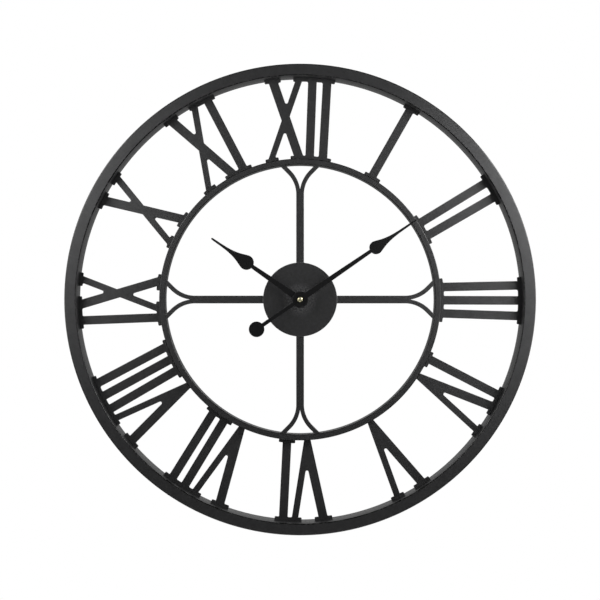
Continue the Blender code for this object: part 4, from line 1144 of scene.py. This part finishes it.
def spiral(first_y, last_y, first_radius, last_radius, turns, wire):
    """A conical wire spring about Y."""
    mesh, sides, count = bmesh.new(), 10, int(turns * 36)
    rings = []
    for i in range(count + 1):
        share = i / count
        turn = 2 * math.pi * turns * share
        radius = first_radius + (last_radius - first_radius) * share
        y = first_y + (last_y - first_y) * share
        out = Vector((math.cos(turn), 0, math.sin(turn)))
        centre = out * radius + Vector((0, y, 0))
        verts = []
        for k in range(sides):
            a = 2 * math.pi * k / sides
            away = out * math.cos(a) + Vector((0, 1, 0)) * math.sin(a)
            verts.append(mesh.verts.new((centre + away * wire) * MM))
        rings.append(verts)
    skin(mesh, rings)
    mesh.faces.new(rings[0])
    mesh.faces.new(rings[-1])
    bmesh.ops.recalc_face_normals(mesh, faces=mesh.faces)
    return mesh


WHEELS = "hour_wheel", "centre_wheel", "third_wheel", "second_wheel", "intermediate_wheel"
KEPT = {
    ACETAL: (*WHEELS, "motion_wheel", "rotor_pinion", "middle_plate"),
    STEEL: ("minute_arbor", "stator", "coil_core"),
    KNOB_WHITE: ("setting_knob",),
    MAGNET: ("rotor_magnet",),
    COPPER: ("coil",),
    BOARD: ("circuit_board",),
    EPOXY: ("chip",),
    PLATING: ("quartz_crystal",),
}


def kept_nodes():
    """The works inside the case and the knob keep their CAD shape, and get a finish."""
    for finish, names in KEPT.items():
        for name in names:
            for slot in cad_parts[name].material_slots:
                slot.material = finish


# ---- studio


def softbox(name, direction, distance, size, power):
    """A square light that faces the dial from a direction."""
    data = bpy.data.lights.new(name, "AREA")
    data.shape = "RECTANGLE"
    data.size, data.size_y = size
    data.energy = power
    lamp = bpy.data.objects.new(name, data)
    towards = Vector(direction).normalized()
    lamp.location = DIAL + towards * distance
    lamp.rotation_mode = "QUATERNION"
    lamp.rotation_quaternion = towards.to_track_quat("Z", "Y")
    bpy.context.scene.collection.objects.link(lamp)


# Each light: the direction it comes from, its distance from the dial's middle and its size in
# metres, and its power in watts
LIGHTS = {
    "near_right_up": ((0.824, -0.359, 0.438), 0.557, (0.25, 0.25), 2.05),
    "near_right": ((0.933, -0.359, -0.033), 0.557, (0.25, 0.25), 0.75),
    "near_left": ((-0.933, -0.359, 0.033), 0.557, (0.25, 0.25), 0.50),
    "near_left_up": ((-0.808, -0.359, 0.467), 0.557, (0.25, 0.25), 1.30),
    "front": ((-0.1, -0.93, 0.35), 2.280, (1.2, 0.9), 1.7),
    "rear": ((0.1, 1.0, 0.45), 1.7, (1.4, 1.0), 3.0),
}
SKY_FRONT = 0.02
SKY_BACK = 0.45


def studio():
    """The lights, a sky that glows behind the clock, and a white backdrop."""
    for name, settings in LIGHTS.items():
        softbox(f"softbox_{name}", *settings)
    world = bpy.data.worlds.new("studio")
    bpy.context.scene.world = world
    world.use_nodes = True
    tree = world.node_tree
    tree.nodes.clear()
    place = tree.nodes.new("ShaderNodeTexCoord")
    apart = tree.nodes.new("ShaderNodeSeparateXYZ")
    tree.links.new(place.outputs["Generated"], apart.inputs[0])
    fade = tree.nodes.new("ShaderNodeMapRange")
    fade.interpolation_type = "SMOOTHSTEP"
    limits = {"From Min": -0.15, "From Max": 0.55, "To Min": SKY_FRONT, "To Max": SKY_BACK}
    for socket, value in limits.items():
        fade.inputs[socket].default_value = value
    tree.links.new(apart.outputs["Y"], fade.inputs["Value"])
    glow = tree.nodes.new("ShaderNodeBackground")
    tree.links.new(fade.outputs["Result"], glow.inputs["Strength"])
    backdrop = tree.nodes.new("ShaderNodeBackground")
    backdrop.inputs["Color"].default_value = (1.0, 1.0, 1.0, 1.0)
    ray = tree.nodes.new("ShaderNodeLightPath")
    mix = tree.nodes.new("ShaderNodeMixShader")
    tree.links.new(ray.outputs["Is Camera Ray"], mix.inputs[0])
    tree.links.new(glow.outputs[0], mix.inputs[1])
    tree.links.new(backdrop.outputs[0], mix.inputs[2])
    out = tree.nodes.new("ShaderNodeOutputWorld")
    tree.links.new(mix.outputs[0], out.inputs["Surface"])
    bpy.context.scene.view_settings.view_transform = "Standard"


def floor():
    """A round patch of pale floor under the clock, which fades out before the camera sees it."""
    mesh = bmesh.new()
    rings = []
    for radius in (0.3, 0.55, 0.8):
        rings.append([mesh.verts.new((x, z, 0.0)) for x, z in circle(radius, 96)])
    mesh.faces.new(rings[0])
    skin(mesh, rings)
    data = bpy.data.meshes.new("floor")
    mesh.to_mesh(data)
    mesh.free()
    made, tree, shader, node = graph("floor_paint", (0.90, 0.90, 0.90), 0.7, Emission_Strength=0.75)
    shader.inputs["Emission Color"].default_value = (1.0, 1.0, 1.0, 1.0)
    place = node("ShaderNodeTexCoord").outputs["Object"]
    length = node("ShaderNodeVectorMath", operation="LENGTH")
    tree.links.new(place, length.inputs[0])
    away = length.outputs["Value"]
    fade = ranged(node, away, 1.0, 0.0, 0.25, 0.78, interpolation_type="SMOOTHSTEP")
    tree.links.new(fade, shader.inputs["Alpha"])
    data.materials.append(made)
    ground = bpy.data.objects.new("floor", data)
    ground.location = (0.0, 0.0, CAD_BOX[0].z - 0.42)
    bpy.context.scene.collection.objects.link(ground)


def camera():
    """The camera, square in front of the dial."""
    data = bpy.data.cameras.new("camera")
    data.lens = 55.25
    data.sensor_width = 36.0
    data.clip_end = 50.0
    eye = bpy.data.objects.new("camera", data)
    eye.location = (-0.0001, -1.195, DIAL.z - 0.0006)
    eye.rotation_euler = (math.radians(90), 0.0, 0.0)
    bpy.context.scene.collection.objects.link(eye)
    bpy.context.scene.camera = eye


outer_ring()
inner_ring()
numerals()
numeral_welds()
spokes()
hub()
hands()
case_shell()
cover()
cell()
contacts()
kept_nodes()
studio()
floor()
camera()
